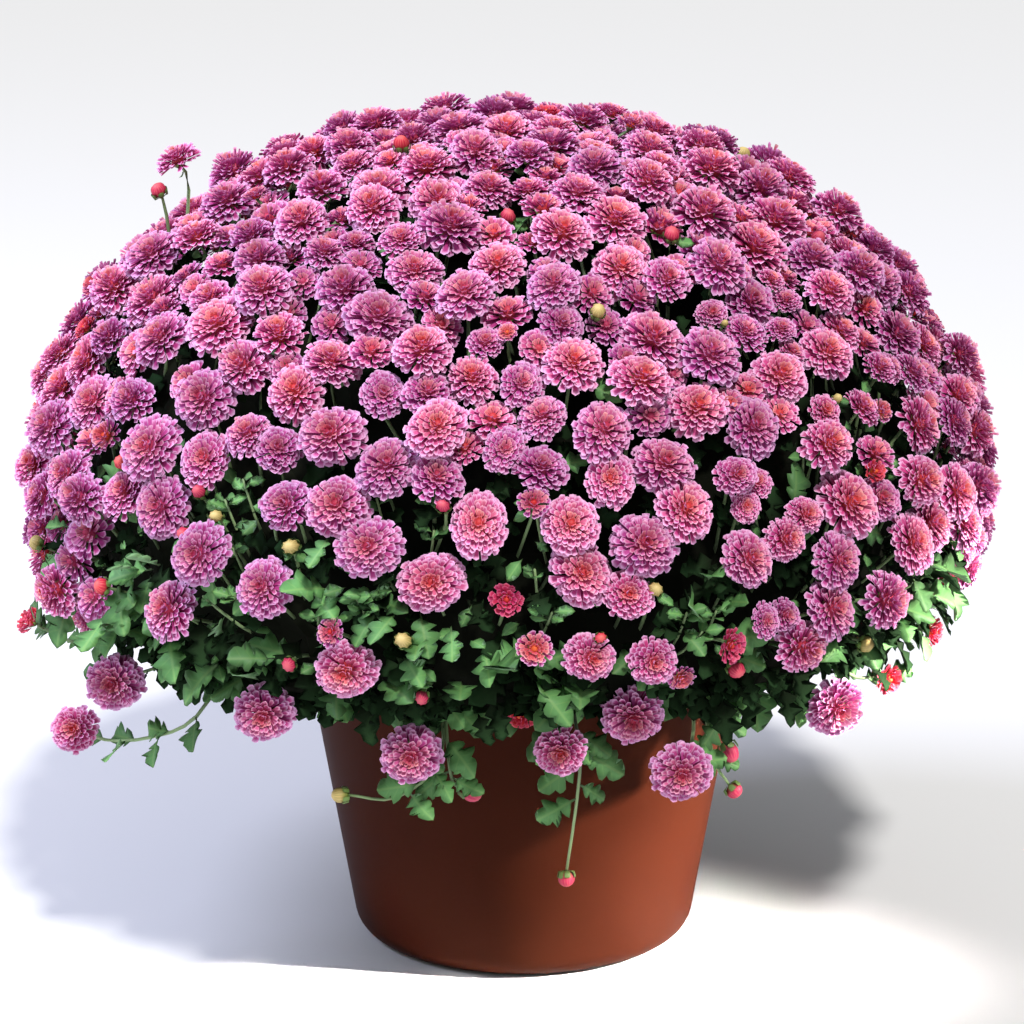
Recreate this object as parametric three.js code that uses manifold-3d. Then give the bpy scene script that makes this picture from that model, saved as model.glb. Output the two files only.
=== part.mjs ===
// A garden chrysanthemum in a 300 mm plastic pan pot: eight leafy branches rooted in potting mix
// carry a low dome of double blooms, with a leafy skirt and loose sprays that trail over the rim.
// Millimetres, +Z up, origin at the middle of the pot's flat base. The front faces -Y.
import * as THREE from 'three';
import { mergeVertices } from 'three/addons/utils/BufferGeometryUtils.js';
import Module from 'manifold-3d';

const wasm = await Module();
wasm.setup();

// ---- Driving dimensions ----
const SEAT_GAP = 0.3;

const POT = { height: 212, rimRadius: 149.5, taper: 9.9, wall: 2.6, heel: 17, lip: 2.2, lipHeight: 7, sides: 24 };
const DRAIN = { count: 4, radius: 6, ring: 62, sides: 5 };
const MIX = { top: 190, clearance: 0.5, sides: 14 };

// The bun is the smooth surface that the middles of the blooms lie on: a half ellipsoid above
// its widest level and a shallower one below it.
const BUN = { x: -10, z: 298, reach: 318, up: 256, down: 120, lowest: 238 };
const WAIST = 308;
const WAIST_CLEAR_ABOVE = 5;
const WAIST_CLEAR_BELOW = 13;

const BRANCHES = 8;
const BRANCH_GAP = 0.4;
const BRANCH = { insideReach: 40, axisHole: 6, undersideHeight: 217, stemRing: 52, stemRadius: 4.4 };
const STEM_SOCKET = { depth: 46, clearance: 0.35, sides: 6 };

const BLOOM_COUNT = 430;
const CLUSTERS = 23;
const CLUSTER = { depth: 20, thickness: 11, gap: 1.8, footRadius: 2.4, footMargin: 4.6, stubRadius: 5 };
const FOOT_SPACING = 7;
const SPACING_JITTER = 4.2;
const LIFT = 7;
const STRAY_ROOM = 27;

const KINDS = {
  full: { radius: [17.6, 20.2], petals: 5 },
  medium: { radius: [14.8, 17.2], petals: 4 },
  young: { radius: [8.6, 11.2], petals: 3 },
  bud: { radius: [4.6, 6.2], petals: 0 },
};
const DOME_MIX = { bud: 0.05, young: 0.13, medium: 0.32 };
const SKIRT_MIX = { bud: 0.12, young: 0.27, medium: 0.45 };

const LEAF = { thickness: 3, perBranch: 8, length: [36, 50] };
const SPRAY_STEM_RADIUS = 2;
const STALK_RADIUS = 1.8;

// Blooms that stand out one by one on the front, as [degrees round from the front, height, kind].
const FRONT_BLOOMS = [
  [-8, 326, 'full'], [8, 331, 'full'], [13, 319, 'medium'], [-27, 317, 'full'], [27, 334, 'full'],
  [39, 323, 'full'], [32, 342, 'full'], [52, 321, 'full'], [65, 317, 'full'], [-15, 347, 'full'],
  [-19, 369, 'full'], [-3, 361, 'full'], [7, 361, 'full'], [15, 348, 'full'], [-25, 366, 'medium'],
  [35, 354, 'full'], [0, 318, 'young'], [-38, 340, 'bud'], [-34, 354, 'bud'], [-37, 366, 'bud'],
  [-24, 343, 'bud'], [-7, 372, 'bud'], [3, 374, 'young'], [16, 322, 'bud'], [20, 366, 'full'],
  [-40, 292, 'full'], [-18, 269, 'full'], [9, 281, 'full'], [38, 299, 'full'], [35, 272, 'full'],
  [29, 299, 'medium'], [47, 290, 'full'], [16, 277, 'medium'], [-19, 299, 'young'], [3, 288, 'young'],
  [25, 282, 'young'], [20, 262, 'young'], [-52, 293, 'bud'], [-25, 268, 'bud'], [-11, 293, 'bud'],
  [10, 299, 'bud'], [-10, 250, 'bud'], [27, 262, 'bud'], [48, 257, 'bud'],
];

// Blooms that grow a little out of the dome, as [degrees round, height, kind, lift].
const STRAYS = [[-90, 502, 'medium', 34], [-84, 492, 'bud', 27], [80, 546, 'young', 6]];

// Trailing sprays. Each stem's points run out from its branch; a bloom or bud ends it.
const SPRAYS = [
  { branch: 0, points: [[-50, -222, 250], [-58, -247, 226], [-66, -252, 206]], bloom: 'full', face: [-0.1, -1, 0.1] },
  { branch: 0, points: [[-52, -225, 244], [-50, -248, 200], [-78, -243, 172], [-109, -232, 170]], bud: 5 },
  { branch: 0, points: [[-48, -225, 242], [-46, -248, 204], [-43, -249, 184], [-36, -245, 179]], bud: 6 },
  { branch: 0, points: [[22, -226, 246], [24, -247, 226], [24, -252, 210]], bloom: 'medium', face: [-0.1, -1, 0] },
  { branch: 0, points: [[26, -226, 244], [34, -248, 205], [33, -232, 168], [27, -200, 108]], bud: 5.5 },
  { branch: 0, points: [[8, -228, 248], [4, -246, 234]], bloom: 'young', face: [-0.4, -0.8, -0.3] },
  { branch: 0, points: [[64, -222, 250], [66, -244, 232]], bloom: 'full', face: [0, -1, -0.1] },
  { branch: 1, points: [[101, -202, 252], [104, -238, 214], [96, -243, 192]], bloom: 'full', face: [0, -1, 0.1] },
  { branch: 1, points: [[106, -202, 248], [116, -232, 196], [127, -226, 174]], bud: 5.5 },
  { branch: 1, points: [[112, -200, 250], [122, -224, 218], [125, -226, 200]], bud: 6 },
  { branch: 1, points: [[158, -165, 252], [178, -178, 226], [190, -172, 212]], bloom: 'full', face: [0.3, -1, 0] },
  { branch: 1, points: [[176, -140, 254], [205, -146, 222], [224, -132, 215]], bloom: 'young', face: [0.6, -0.8, 0.1] },
  { branch: 2, points: [[214, -76, 256], [240, -86, 236], [254, -82, 232]], bloom: 'young', face: [0.8, -0.5, 0] },
  { branch: 7, points: [[-136, -196, 256], [-150, -226, 240], [-156, -226, 226]], bloom: 'full', face: [-0.1, -1, 0] },
  {
    branch: 7,
    points: [[-172, -160, 250], [-206, -168, 200], [-240, -138, 176], [-270, -112, 166], [-286, -102, 170]],
    bloom: 'medium', face: [-0.2, -0.9, 0.3],
  },
  { branch: 7, points: [[-178, -152, 254], [-224, -128, 224], [-252, -114, 210], [-256, -130, 212]], bloom: 'full', face: [-0.2, -1, 0.2] },
  { branch: 6, points: [[-236, -72, 256], [-282, -84, 224], [-312, -70, 228]], bloom: 'young', face: [-0.8, -0.3, 0.5] },
];

// ---- Colours ----
const petalMaterial = new THREE.MeshStandardMaterial({ color: 0xbf6e93, roughness: 0.7, metalness: 0 });
const youngMaterial = new THREE.MeshStandardMaterial({ color: 0xd2455f, roughness: 0.7, metalness: 0 });
const leafMaterial = new THREE.MeshStandardMaterial({ color: 0x4c7a3f, roughness: 0.65, metalness: 0 });
const potMaterial = new THREE.MeshStandardMaterial({ color: 0x8a4328, roughness: 0.5, metalness: 0 });
const mixMaterial = new THREE.MeshStandardMaterial({ color: 0x2e2119, roughness: 0.95, metalness: 0 });

// ---- Small helpers ----
const radians = THREE.MathUtils.degToRad;
const upwards = new THREE.Vector3(0, 0, 1);
const bunCentre = new THREE.Vector3(BUN.x, 0, BUN.z);

function seededRandom(seed) {
  let state = seed >>> 0;
  return () => {
    state = (state + 0x6d2b79f5) >>> 0;
    let t = state;
    t = Math.imul(t ^ (t >>> 15), t | 1);
    t ^= t + Math.imul(t ^ (t >>> 7), t | 61);
    return ((t ^ (t >>> 14)) >>> 0) / 4294967296;
  };
}

function between(range, share) {
  return range[0] + (range[1] - range[0]) * share;
}

// A closed skin is gathered point by point and face by face.
class Skin {
  constructor() {
    this.places = [];
    this.faces = [];
  }

  point(place) {
    this.places.push(place.x, place.y, place.z);
    return this.places.length / 3 - 1;
  }

  face(a, b, c) {
    this.faces.push(a, b, c);
  }

  geometry() {
    const geometry = new THREE.BufferGeometry();
    geometry.setAttribute('position', new THREE.Float32BufferAttribute(this.places, 3));
    geometry.setIndex(this.faces);
    return geometry;
  }
}

function toSolid(geometry) {
  const bare = new THREE.BufferGeometry();
  bare.setAttribute('position', geometry.getAttribute('position'));
  bare.setIndex(geometry.index);
  const merged = mergeVertices(bare, 1e-4);
  const corners = merged.index.array;
  const kept = [];
  for (let i = 0; i < corners.length; i += 3) {
    const [a, b, c] = [corners[i], corners[i + 1], corners[i + 2]];
    if (a !== b && b !== c && c !== a) kept.push(a, b, c);
  }
  const vertProperties = new Float32Array(merged.getAttribute('position').array);
  const make = (triVerts) => new wasm.Manifold(new wasm.Mesh({ numProp: 3, vertProperties, triVerts }));
  const solid = make(new Uint32Array(kept));
  if (solid.volume() > 0) return solid;
  const turned = [];
  for (let i = 0; i < kept.length; i += 3) turned.push(kept[i], kept[i + 2], kept[i + 1]);
  return make(new Uint32Array(turned));
}

function fromSolid(solid) {
  const mesh = solid.getMesh();
  const geometry = new THREE.BufferGeometry();
  const places = [];
  for (let i = 0; i < mesh.numVert; i += 1) {
    places.push(...mesh.vertProperties.slice(i * mesh.numProp, i * mesh.numProp + 3));
  }
  geometry.setAttribute('position', new THREE.Float32BufferAttribute(places, 3));
  geometry.setIndex(Array.from(mesh.triVerts));
  return geometry;
}

// Cutting leaves can free small scraps; the largest body is the branch.
function largestBody(solid) {
  const bodies = solid.decompose();
  bodies.sort((a, b) => b.volume() - a.volume());
  return bodies[0];
}

function lathe(profile, sides) {
  const geometry = new THREE.LatheGeometry(profile.map(([r, z]) => new THREE.Vector2(r, z)), sides);
  geometry.rotateX(Math.PI / 2);
  return geometry;
}

function upright(radius, bottom, top, sides, x, y) {
  const geometry = new THREE.CylinderGeometry(radius, radius, top - bottom, sides);
  geometry.rotateX(Math.PI / 2);
  geometry.translate(x, y, (top + bottom) / 2);
  return geometry;
}

function prism(corners, bottom, top) {
  const shape = new THREE.Shape(corners.map(([x, y]) => new THREE.Vector2(x, y)));
  const geometry = new THREE.ExtrudeGeometry(shape, { depth: top - bottom, bevelEnabled: false });
  geometry.translate(0, 0, bottom);
  return geometry;
}

// Round from the front, where 0 is -Y and positive angles turn towards +X.
function aroundFront(degrees) {
  return new THREE.Vector3(Math.sin(radians(degrees)), -Math.cos(radians(degrees)), 0);
}

// ---- The bun's surface ----
function bunDistance(direction) {
  const vertical = direction.z >= 0 ? BUN.up : BUN.down;
  const level = (direction.x ** 2 + direction.y ** 2) / BUN.reach ** 2;
  return 1 / Math.sqrt(level + (direction.z / vertical) ** 2);
}

function bunRadius(height) {
  const vertical = height >= BUN.z ? BUN.up : BUN.down;
  return BUN.reach * Math.sqrt(Math.max(0, 1 - ((height - BUN.z) / vertical) ** 2));
}

function bunDirection(degrees, height) {
  const place = aroundFront(degrees).multiplyScalar(bunRadius(height));
  place.z = height - BUN.z;
  return place.normalize();
}

function bunNormal(direction) {
  const vertical = direction.z >= 0 ? BUN.up : BUN.down;
  const level = BUN.reach ** 2;
  return new THREE.Vector3(direction.x / level, direction.y / level, direction.z / vertical ** 2).normalize();
}

// Running total of the bun's area from its top down to a height, thinned by a weight.
function areaTable(lowest, weight) {
  const steps = 720;
  const table = [{ height: BUN.z + BUN.up, total: 0 }];
  let total = 0;
  let before = new THREE.Vector2(0, BUN.z + BUN.up);
  for (let i = 1; i <= steps; i += 1) {
    const turn = (Math.PI * i) / steps;
    const vertical = turn < Math.PI / 2 ? BUN.up : BUN.down;
    const now = new THREE.Vector2(BUN.reach * Math.sin(turn), BUN.z + vertical * Math.cos(turn));
    if (now.y < lowest) break;
    total += before.distanceTo(now) * ((before.x + now.x) / 2) * weight(now.y);
    table.push({ height: now.y, total });
    before = now;
  }
  return table;
}

function heightAt(table, share) {
  const wanted = share * table[table.length - 1].total;
  let i = 1;
  while (table[i].total < wanted) i += 1;
  const [above, below] = [table[i - 1], table[i]];
  const part = (wanted - above.total) / (below.total - above.total);
  return above.height + (below.height - above.height) * part;
}

// ---- Where the blooms are ----
const GOLDEN_ANGLE = 180 * (3 - Math.sqrt(5));

function bloomDensity(height) {
  return THREE.MathUtils.clamp(0.62 + (height - 300) / 90, 0.62, 1);
}

function kindFor(share, mix) {
  if (share < mix.bud) return 'bud';
  if (share < mix.young) return 'young';
  if (share < mix.medium) return 'medium';
  return 'full';
}

// The chance that a place stays bare: the front left shoulder is the thinnest.
function bareness(degrees, height) {
  const frontLeft = degrees > -62 && degrees < -10;
  if (frontLeft && height < 385) return 0.42;
  if (frontLeft && height < 440) return 0.16;
  return 0.03;
}

function clearOfWaist(height) {
  if (height >= WAIST) return Math.max(height, WAIST + WAIST_CLEAR_ABOVE);
  return Math.min(height, WAIST - WAIST_CLEAR_BELOW);
}

function makeBloom(degrees, height, kind, lift, tilt, lean, share, turn) {
  const settled = clearOfWaist(height);
  const direction = bunDirection(degrees, settled);
  const normal = bunNormal(direction);
  const sideways = aroundFront(degrees + 90);
  const across = new THREE.Vector3().crossVectors(normal, sideways);
  normal.addScaledVector(upwards, settled < WAIST ? 0.45 : 0.2);
  normal.addScaledVector(sideways, lean * Math.cos(tilt));
  normal.addScaledVector(across, lean * Math.sin(tilt));
  const centre = bunCentre.clone().addScaledVector(direction, bunDistance(direction) + lift);
  const radius = between(KINDS[kind].radius, share);
  return { degrees, height: settled, direction, centre, normal: normal.normalize(), radius, kind, turn };
}

function placeBlooms() {
  const draw = seededRandom(20);
  const listed = [];
  for (const [degrees, height, kind, lift = 0] of [...FRONT_BLOOMS, ...STRAYS]) {
    const [tilt, lean, share, turn] = [draw() * 2 * Math.PI, draw() * 0.2, draw(), draw()];
    listed.push({ ...makeBloom(degrees, height, kind, lift, tilt, lean, share, turn), lift, single: height < WAIST });
  }
  const table = areaTable(BUN.lowest, bloomDensity);
  const scattered = [];
  for (let i = 0; i < BLOOM_COUNT; i += 1) {
    const draws = Array.from({ length: 9 }, draw);
    const even = heightAt(table, (i + 0.5) / BLOOM_COUNT);
    const slope = bunNormal(bunDirection(0, even));
    const height = even + (draws[0] - 0.5) * 2 * SPACING_JITTER * Math.hypot(slope.x, slope.y);
    const radius = bunRadius(height);
    let degrees = i * GOLDEN_ANGLE + THREE.MathUtils.radToDeg(
      ((draws[1] - 0.5) * 2 * SPACING_JITTER) / Math.max(radius, 25));
    degrees = THREE.MathUtils.euclideanModulo(degrees + 180, 360) - 180;
    const inFront = height < 313 && degrees > -57 && degrees < 69;
    const mix = height < WAIST ? SKIRT_MIX : DOME_MIX;
    const kind = kindFor(draws[5], mix);
    const bloom = makeBloom(degrees, Math.max(height, BUN.lowest), kind, (draws[2] - 0.5) * 2 * LIFT,
      draws[3] * 2 * Math.PI, draws[4] * 0.3, draws[6], draws[7]);
    const crowded = listed.some((other) => other.centre.distanceTo(bloom.centre) < other.radius + 11.5
      || (other.lift > LIFT && other.direction.distanceTo(bloom.direction) < STRAY_ROOM / BUN.reach));
    if (!inFront && !crowded && draws[8] > bareness(degrees, height)) scattered.push(bloom);
  }
  return [...listed, ...scattered];
}

// Neighbours that would touch are drawn in until they clear each other. Then each in turn takes
// up the room that is left round it.
function clearNeighbours(blooms) {
  for (const bloom of blooms) {
    let factor = 1;
    for (const other of blooms) {
      if (other === bloom) continue;
      const distance = bloom.centre.distanceTo(other.centre);
      factor = Math.min(factor, (distance - 1) / (bloom.radius + other.radius));
    }
    bloom.drawnRadius = bloom.radius * factor;
  }
  for (const bloom of blooms) {
    const room = blooms.filter((other) => other !== bloom)
      .map((other) => bloom.centre.distanceTo(other.centre) - 1 - other.drawnRadius);
    bloom.drawnRadius = Math.min(bloom.radius, ...room);
  }
}

// ---- One bloom ----
// A ring of points round a bloom: petal tips stand out, with notches between them.
function petalRing(bloom, zero, petals, reach, notch, tipRise, notchRise, turn) {
  const ring = [];
  const side = new THREE.Vector3().crossVectors(bloom.normal, zero).normalize();
  const ahead = new THREE.Vector3().crossVectors(side, bloom.normal).normalize();
  const points = petals * 2;
  for (let k = 0; k < points; k += 1) {
    const angle = turn + (2 * Math.PI * k) / points;
    const radius = k % 2 ? notch : reach;
    const place = bloom.centre.clone();
    place.addScaledVector(ahead, radius * Math.cos(angle));
    place.addScaledVector(side, radius * Math.sin(angle));
    place.addScaledVector(bloom.normal, k % 2 ? notchRise : tipRise);
    ring.push(place);
  }
  return ring;
}

function raise(skin, foot, ring) {
  const indices = ring.map((place) => skin.point(place));
  const count = indices.length;
  const starts = [0, 1, 2, 3].map((j) => Math.round((j * count) / 3));
  for (let j = 0; j < 3; j += 1) {
    for (let k = starts[j]; k < starts[j + 1]; k += 1) {
      skin.face(foot[j], indices[(k + 1) % count], indices[k]);
    }
    skin.face(foot[j], foot[(j + 1) % 3], indices[starts[j + 1] % count]);
  }
  return indices;
}

function cap(skin, indices, crown) {
  const top = skin.point(crown);
  indices.forEach((from, k) => skin.face(from, indices[(k + 1) % indices.length], top));
}

function crownPlace(bloom, rise) {
  return bloom.centre.clone().addScaledVector(bloom.normal, rise);
}

// A simple bloom rises from a three-cornered foot: calyx, petal rim and domed crown.
function raiseBloom(skin, foot, zero, bloom) {
  const r = bloom.drawnRadius;
  if (bloom.kind === 'bud') {
    const ring = petalRing(bloom, zero, 2.5, r, r, 0, 0, -Math.PI / 3);
    cap(skin, raise(skin, foot, ring), crownPlace(bloom, r));
    return;
  }
  const petals = KINDS[bloom.kind].petals;
  const ring = petalRing(bloom, zero, petals, r, r * 0.8, -0.12 * r, 0.04 * r, -Math.PI / 3);
  cap(skin, raise(skin, foot, ring), crownPlace(bloom, 0.3 * r));
}

function footPlaces(base, axis, radius) {
  const sideways = Math.abs(axis.z) > 0.9 ? new THREE.Vector3(1, 0, 0) : upwards;
  const first = new THREE.Vector3().crossVectors(axis, sideways).normalize();
  return [0, 1, 2].map((j) => {
    const arm = first.clone().applyAxisAngle(axis, (j * 2 * Math.PI) / 3);
    return base.clone().addScaledVector(arm, radius);
  });
}

// A three-sided stalk from the foot up to just under the petals.
function stalk(skin, foot, places, bloom) {
  const top = bloom.centre.clone().addScaledVector(bloom.normal, -bloom.drawnRadius * 0.7);
  const base = places[0].clone().add(places[1]).add(places[2]).divideScalar(3);
  const upper = places.map((place) => skin.point(place.clone().sub(base).add(top)));
  foot.forEach((from, j) => {
    const next = (j + 1) % 3;
    skin.face(from, foot[next], upper[next]);
    skin.face(from, upper[next], upper[j]);
  });
  return upper;
}

// A bloom as a closed body of its own, standing on a flat foot.
function closedBloom(bloom, base, tiers) {
  const skin = new Skin();
  const axis = bloom.centre.clone().sub(base).normalize();
  const places = footPlaces(base, axis, CLUSTER.footRadius);
  let foot = places.map((place) => skin.point(place));
  const zero = places[0].clone().sub(base);
  skin.face(foot[0], foot[2], foot[1]);
  if (base.distanceTo(bloom.centre) > bloom.drawnRadius * 1.2) foot = stalk(skin, foot, places, bloom);
  if (tiers === 1) {
    raiseBloom(skin, foot, zero, bloom);
    return skin.geometry();
  }
  const r = bloom.drawnRadius;
  const rim = petalRing(bloom, zero, 7, r, r * 0.82, -0.14 * r, 0, -Math.PI / 3);
  const outer = raise(skin, foot, rim);
  const inner = petalRing(bloom, zero, 3.5, r * 0.56, r * 0.56, 0.3 * r, 0.3 * r, 0);
  const tier = inner.map((place) => skin.point(place));
  for (let k = 0; k < 7; k += 1) {
    const [a, b, c] = [outer[2 * k], outer[2 * k + 1], outer[(2 * k + 2) % 14]];
    const [from, to] = [tier[(k + 6) % 7], tier[k]];
    skin.face(a, b, from);
    skin.face(b, c, to);
    skin.face(b, to, from);
  }
  cap(skin, tier, crownPlace(bloom, 0.18 * r));
  return skin.geometry();
}

// ---- Clusters of blooms over the dome ----
// A cluster is worked out on the plane that touches the unit sphere at the cluster's middle, seen
// from the bun's centre, so that its straight edges stay straight when they are lifted to the bun.
function clusterPlane(direction) {
  const u = new THREE.Vector3().crossVectors(upwards, direction).normalize();
  const v = new THREE.Vector3().crossVectors(direction, u);
  return {
    flatten(d) {
      const scale = 1 / d.dot(direction);
      return new THREE.Vector2(d.dot(u) * scale, d.dot(v) * scale);
    },
    lift(p, depth) {
      const d = direction.clone().addScaledVector(u, p.x).addScaledVector(v, p.y).normalize();
      return bunCentre.clone().addScaledVector(d, bunDistance(d) - depth);
    },
    edge(w, margin) {
      return { a: w.dot(u), b: w.dot(v), c: w.dot(direction) - margin };
    },
  };
}

function clip(polygon, { a, b, c }) {
  const inside = (p) => a * p.x + b * p.y + c;
  const result = [];
  polygon.forEach((p, i) => {
    const q = polygon[(i + 1) % polygon.length];
    const [from, to] = [inside(p), inside(q)];
    if (from >= 0) result.push(p);
    if (from * to < 0) result.push(p.clone().lerp(q, from / (from - to)));
  });
  return result;
}

// Corners close together become one corner. A long side gets a corner in its middle, a little
// inwards, so that no triangle spans the whole side and cuts below the slab's underside.
function evenSides(polygon, shortest, longest) {
  const kept = polygon.filter((p, i) => p.distanceTo(polygon[(i + 1) % polygon.length]) > shortest);
  const dent = 0.3 / BUN.reach;
  return kept.flatMap((p, i) => {
    const next = kept[(i + 1) % kept.length];
    const along = next.clone().sub(p);
    if (along.length() < longest) return [p];
    const inwards = new THREE.Vector2(-along.y, along.x).setLength(dent);
    return [p, p.clone().lerp(next, 0.5).add(inwards)];
  });
}

// Turns every triangle anticlockwise, then swaps the edge that two of them share wherever the
// other diagonal makes them rounder, so that the lifted surface follows the bun.
function roundOut(triangles, flat) {
  const area = (...corners) => THREE.ShapeUtils.area(corners.map((i) => flat[i]));
  const angleAt = (i, j, k) => flat[j].clone().sub(flat[i]).angleTo(flat[k].clone().sub(flat[i]));
  const smallest = (0.03 / BUN.reach) ** 2;
  const turned = triangles.map(([a, b, c]) => (area(a, b, c) > 0 ? [a, b, c] : [a, c, b]));
  let changed = new Set([0]);
  for (let pass = 0; pass < 30 && changed.size > 0; pass += 1) {
    changed = new Set();
    const across = new Map();
    turned.forEach(([a, b, c], t) => {
      across.set(`${a} ${b}`, [t, c]).set(`${b} ${c}`, [t, a]).set(`${c} ${a}`, [t, b]);
    });
    turned.slice().forEach((triangle, t) => {
      for (let k = 0; k < 3; k += 1) {
        const [a, b, c] = [0, 1, 2].map((j) => triangle[(j + k) % 3]);
        const [u, d] = across.get(`${b} ${a}`) ?? [t, c];
        if (changed.has(t) || changed.has(u) || u === t) continue;
        const rounder = angleAt(c, a, b) + angleAt(d, a, b) > Math.PI + 1e-6;
        if (!rounder || area(c, a, d) < smallest || area(c, d, b) < smallest) continue;
        turned[t] = [c, a, d];
        turned[u] = [c, d, b];
        changed.add(t).add(u);
      }
    });
  }
  return turned;
}

function keepInside(p, polygon, margin) {
  const moved = p.clone();
  for (let pass = 0; pass < 6; pass += 1) {
    polygon.forEach((from, i) => {
      const to = polygon[(i + 1) % polygon.length];
      const along = to.clone().sub(from).normalize();
      const inwards = new THREE.Vector2(-along.y, along.x);
      const distance = moved.clone().sub(from).dot(inwards);
      if (distance < margin) moved.addScaledVector(inwards, margin - distance);
    });
  }
  return moved;
}

// The middles of the feet on a cluster: inside its outline and clear of each other.
function footMiddles(flat, polygon) {
  const spacing = FOOT_SPACING / BUN.reach;
  const inside = (p) => keepInside(p, polygon, CLUSTER.footMargin / BUN.reach);
  let middles = flat.map(inside);
  for (let pass = 0; pass < 12; pass += 1) {
    middles.forEach((p, i) => {
      for (const q of middles.slice(i + 1)) {
        const apart = q.clone().sub(p);
        const missing = spacing - apart.length();
        if (missing <= 0) continue;
        apart.setLength(missing / 2);
        p.sub(apart);
        q.add(apart);
      }
    });
    middles = middles.map(inside);
  }
  return middles;
}

// Height of the branches' faceted surface under a direction from the bun's centre.
function branchDistance(direction) {
  const turn = THREE.MathUtils.radToDeg(Math.atan2(direction.x, -direction.y));
  const facet = 360 / (BRANCHES * 2);
  const fromMiddle = THREE.MathUtils.euclideanModulo(turn, facet) - facet / 2;
  const shrink = Math.cos(radians(facet / 2)) / Math.cos(radians(fromMiddle));
  const level = Math.hypot(direction.x, direction.y);
  for (let i = 1; i < branchProfile.length; i += 1) {
    const [r0, h0] = [branchProfile[i - 1][0] * shrink, branchProfile[i - 1][1] - BUN.z];
    const [r1, h1] = [branchProfile[i][0] * shrink, branchProfile[i][1] - BUN.z];
    const [s0, s1] = [r0 * direction.z - h0 * level, r1 * direction.z - h1 * level];
    if (s0 * s1 <= 0 && s0 !== s1) {
      const part = s0 / (s0 - s1);
      return Math.hypot(r0 + (r1 - r0) * part, h0 + (h1 - h0) * part);
    }
  }
  throw new Error('no branch lies in this direction');
}

// Each bloom belongs to the cluster whose middle is nearest.
function shareOut(blooms, centres) {
  const held = centres.map(() => []);
  for (const bloom of blooms) {
    const nearness = centres.map((centre) => centre.dot(bloom.direction));
    held[nearness.indexOf(Math.max(...nearness))].push(bloom);
  }
  return held;
}

function bloomCluster(centres, index, blooms) {
  const centre = centres[index];
  const plane = clusterPlane(centre);
  const margin = CLUSTER.gap / 2 / BUN.reach;
  let polygon = [[-1, -1], [1, -1], [1, 1], [-1, 1]].map(([x, y]) => new THREE.Vector2(x, y));
  centres.forEach((other, i) => {
    if (i === index || other.dot(centre) < 0.3) return;
    polygon = clip(polygon, plane.edge(centre.clone().sub(other).normalize(), margin));
  });
  const level = Math.hypot(centre.x, centre.y);
  const waistSlope = (WAIST - BUN.z) / bunRadius(WAIST);
  const aboveWaist = new THREE.Vector3(-waistSlope * centre.x / level, -waistSlope * centre.y / level, 1);
  polygon = clip(polygon, plane.edge(aboveWaist.normalize(), margin));
  polygon = evenSides(polygon, 5 / BUN.reach, 112 / BUN.reach);

  const skin = new Skin();
  const middles = footMiddles(blooms.map((bloom) => plane.flatten(bloom.direction)), polygon);
  const feet = middles.map((p) => [90, 210, 330].map((angle) => new THREE.Vector2(
    p.x + (CLUSTER.footRadius / BUN.reach) * Math.cos(radians(angle)),
    p.y + (CLUSTER.footRadius / BUN.reach) * Math.sin(radians(angle)))));
  const flat = [...polygon, ...feet.flat()];
  const top = flat.map((p) => skin.point(plane.lift(p, CLUSTER.depth)));
  const triangles = THREE.ShapeUtils.triangulateShape(polygon.slice(), feet.map((foot) => foot.slice()));
  for (const [a, b, c] of roundOut(triangles, flat)) skin.face(top[a], top[b], top[c]);

  // The underside runs in to a stub that comes down to the branch beneath.
  const underside = CLUSTER.depth + CLUSTER.thickness;
  const middle = polygon.reduce((sum, p) => sum.add(p), new THREE.Vector2()).divideScalar(polygon.length);
  const stub = [0, 1, 2].map((j) => {
    const p = polygon[Math.floor(((j + 0.5) * polygon.length) / 3)];
    const inwards = middle.clone().lerp(p, CLUSTER.stubRadius / BUN.reach / middle.distanceTo(p));
    return skin.point(plane.lift(inwards, underside + 1));
  });
  const bottom = raise(skin, stub, polygon.map((p) => plane.lift(p, underside)));
  polygon.forEach((_, i) => {
    const next = (i + 1) % polygon.length;
    skin.face(top[i], bottom[i], bottom[next]);
    skin.face(top[i], bottom[next], top[next]);
  });
  const down = plane.lift(middle, 0).sub(bunCentre).normalize();
  const tip = skin.point(bunCentre.clone().addScaledVector(down, branchDistance(down) + SEAT_GAP * 1.3));
  stub.forEach((from, j) => skin.face(stub[(j + 1) % 3], from, tip));

  blooms.forEach((bloom, i) => {
    const start = polygon.length + i * 3;
    const foot = [top[start], top[start + 1], top[start + 2]];
    const places = feet[i].map((p) => plane.lift(p, CLUSTER.depth));
    const base = places[0].clone().add(places[1]).add(places[2]).divideScalar(3);
    raiseBloom(skin, foot, places[0].clone().sub(base), bloom);
  });
  return skin.geometry();
}

// ---- Branches ----
// Section through the branches: a flat underside, a skirt, and the dome beneath the clusters.
const branchProfile = [
  [BRANCH.axisHole, BRANCH.undersideHeight], [198, BRANCH.undersideHeight], [252, 238], [279, 280],
];
for (const turn of [84, 66, 48, 30, 14]) {
  branchProfile.push([
    (BUN.reach - BRANCH.insideReach) * Math.sin(radians(turn)),
    BUN.z + (BUN.up - BRANCH.insideReach) * Math.cos(radians(turn)),
  ]);
}
branchProfile.push([BRANCH.axisHole, BUN.z + BUN.up - BRANCH.insideReach - 1]);

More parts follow.
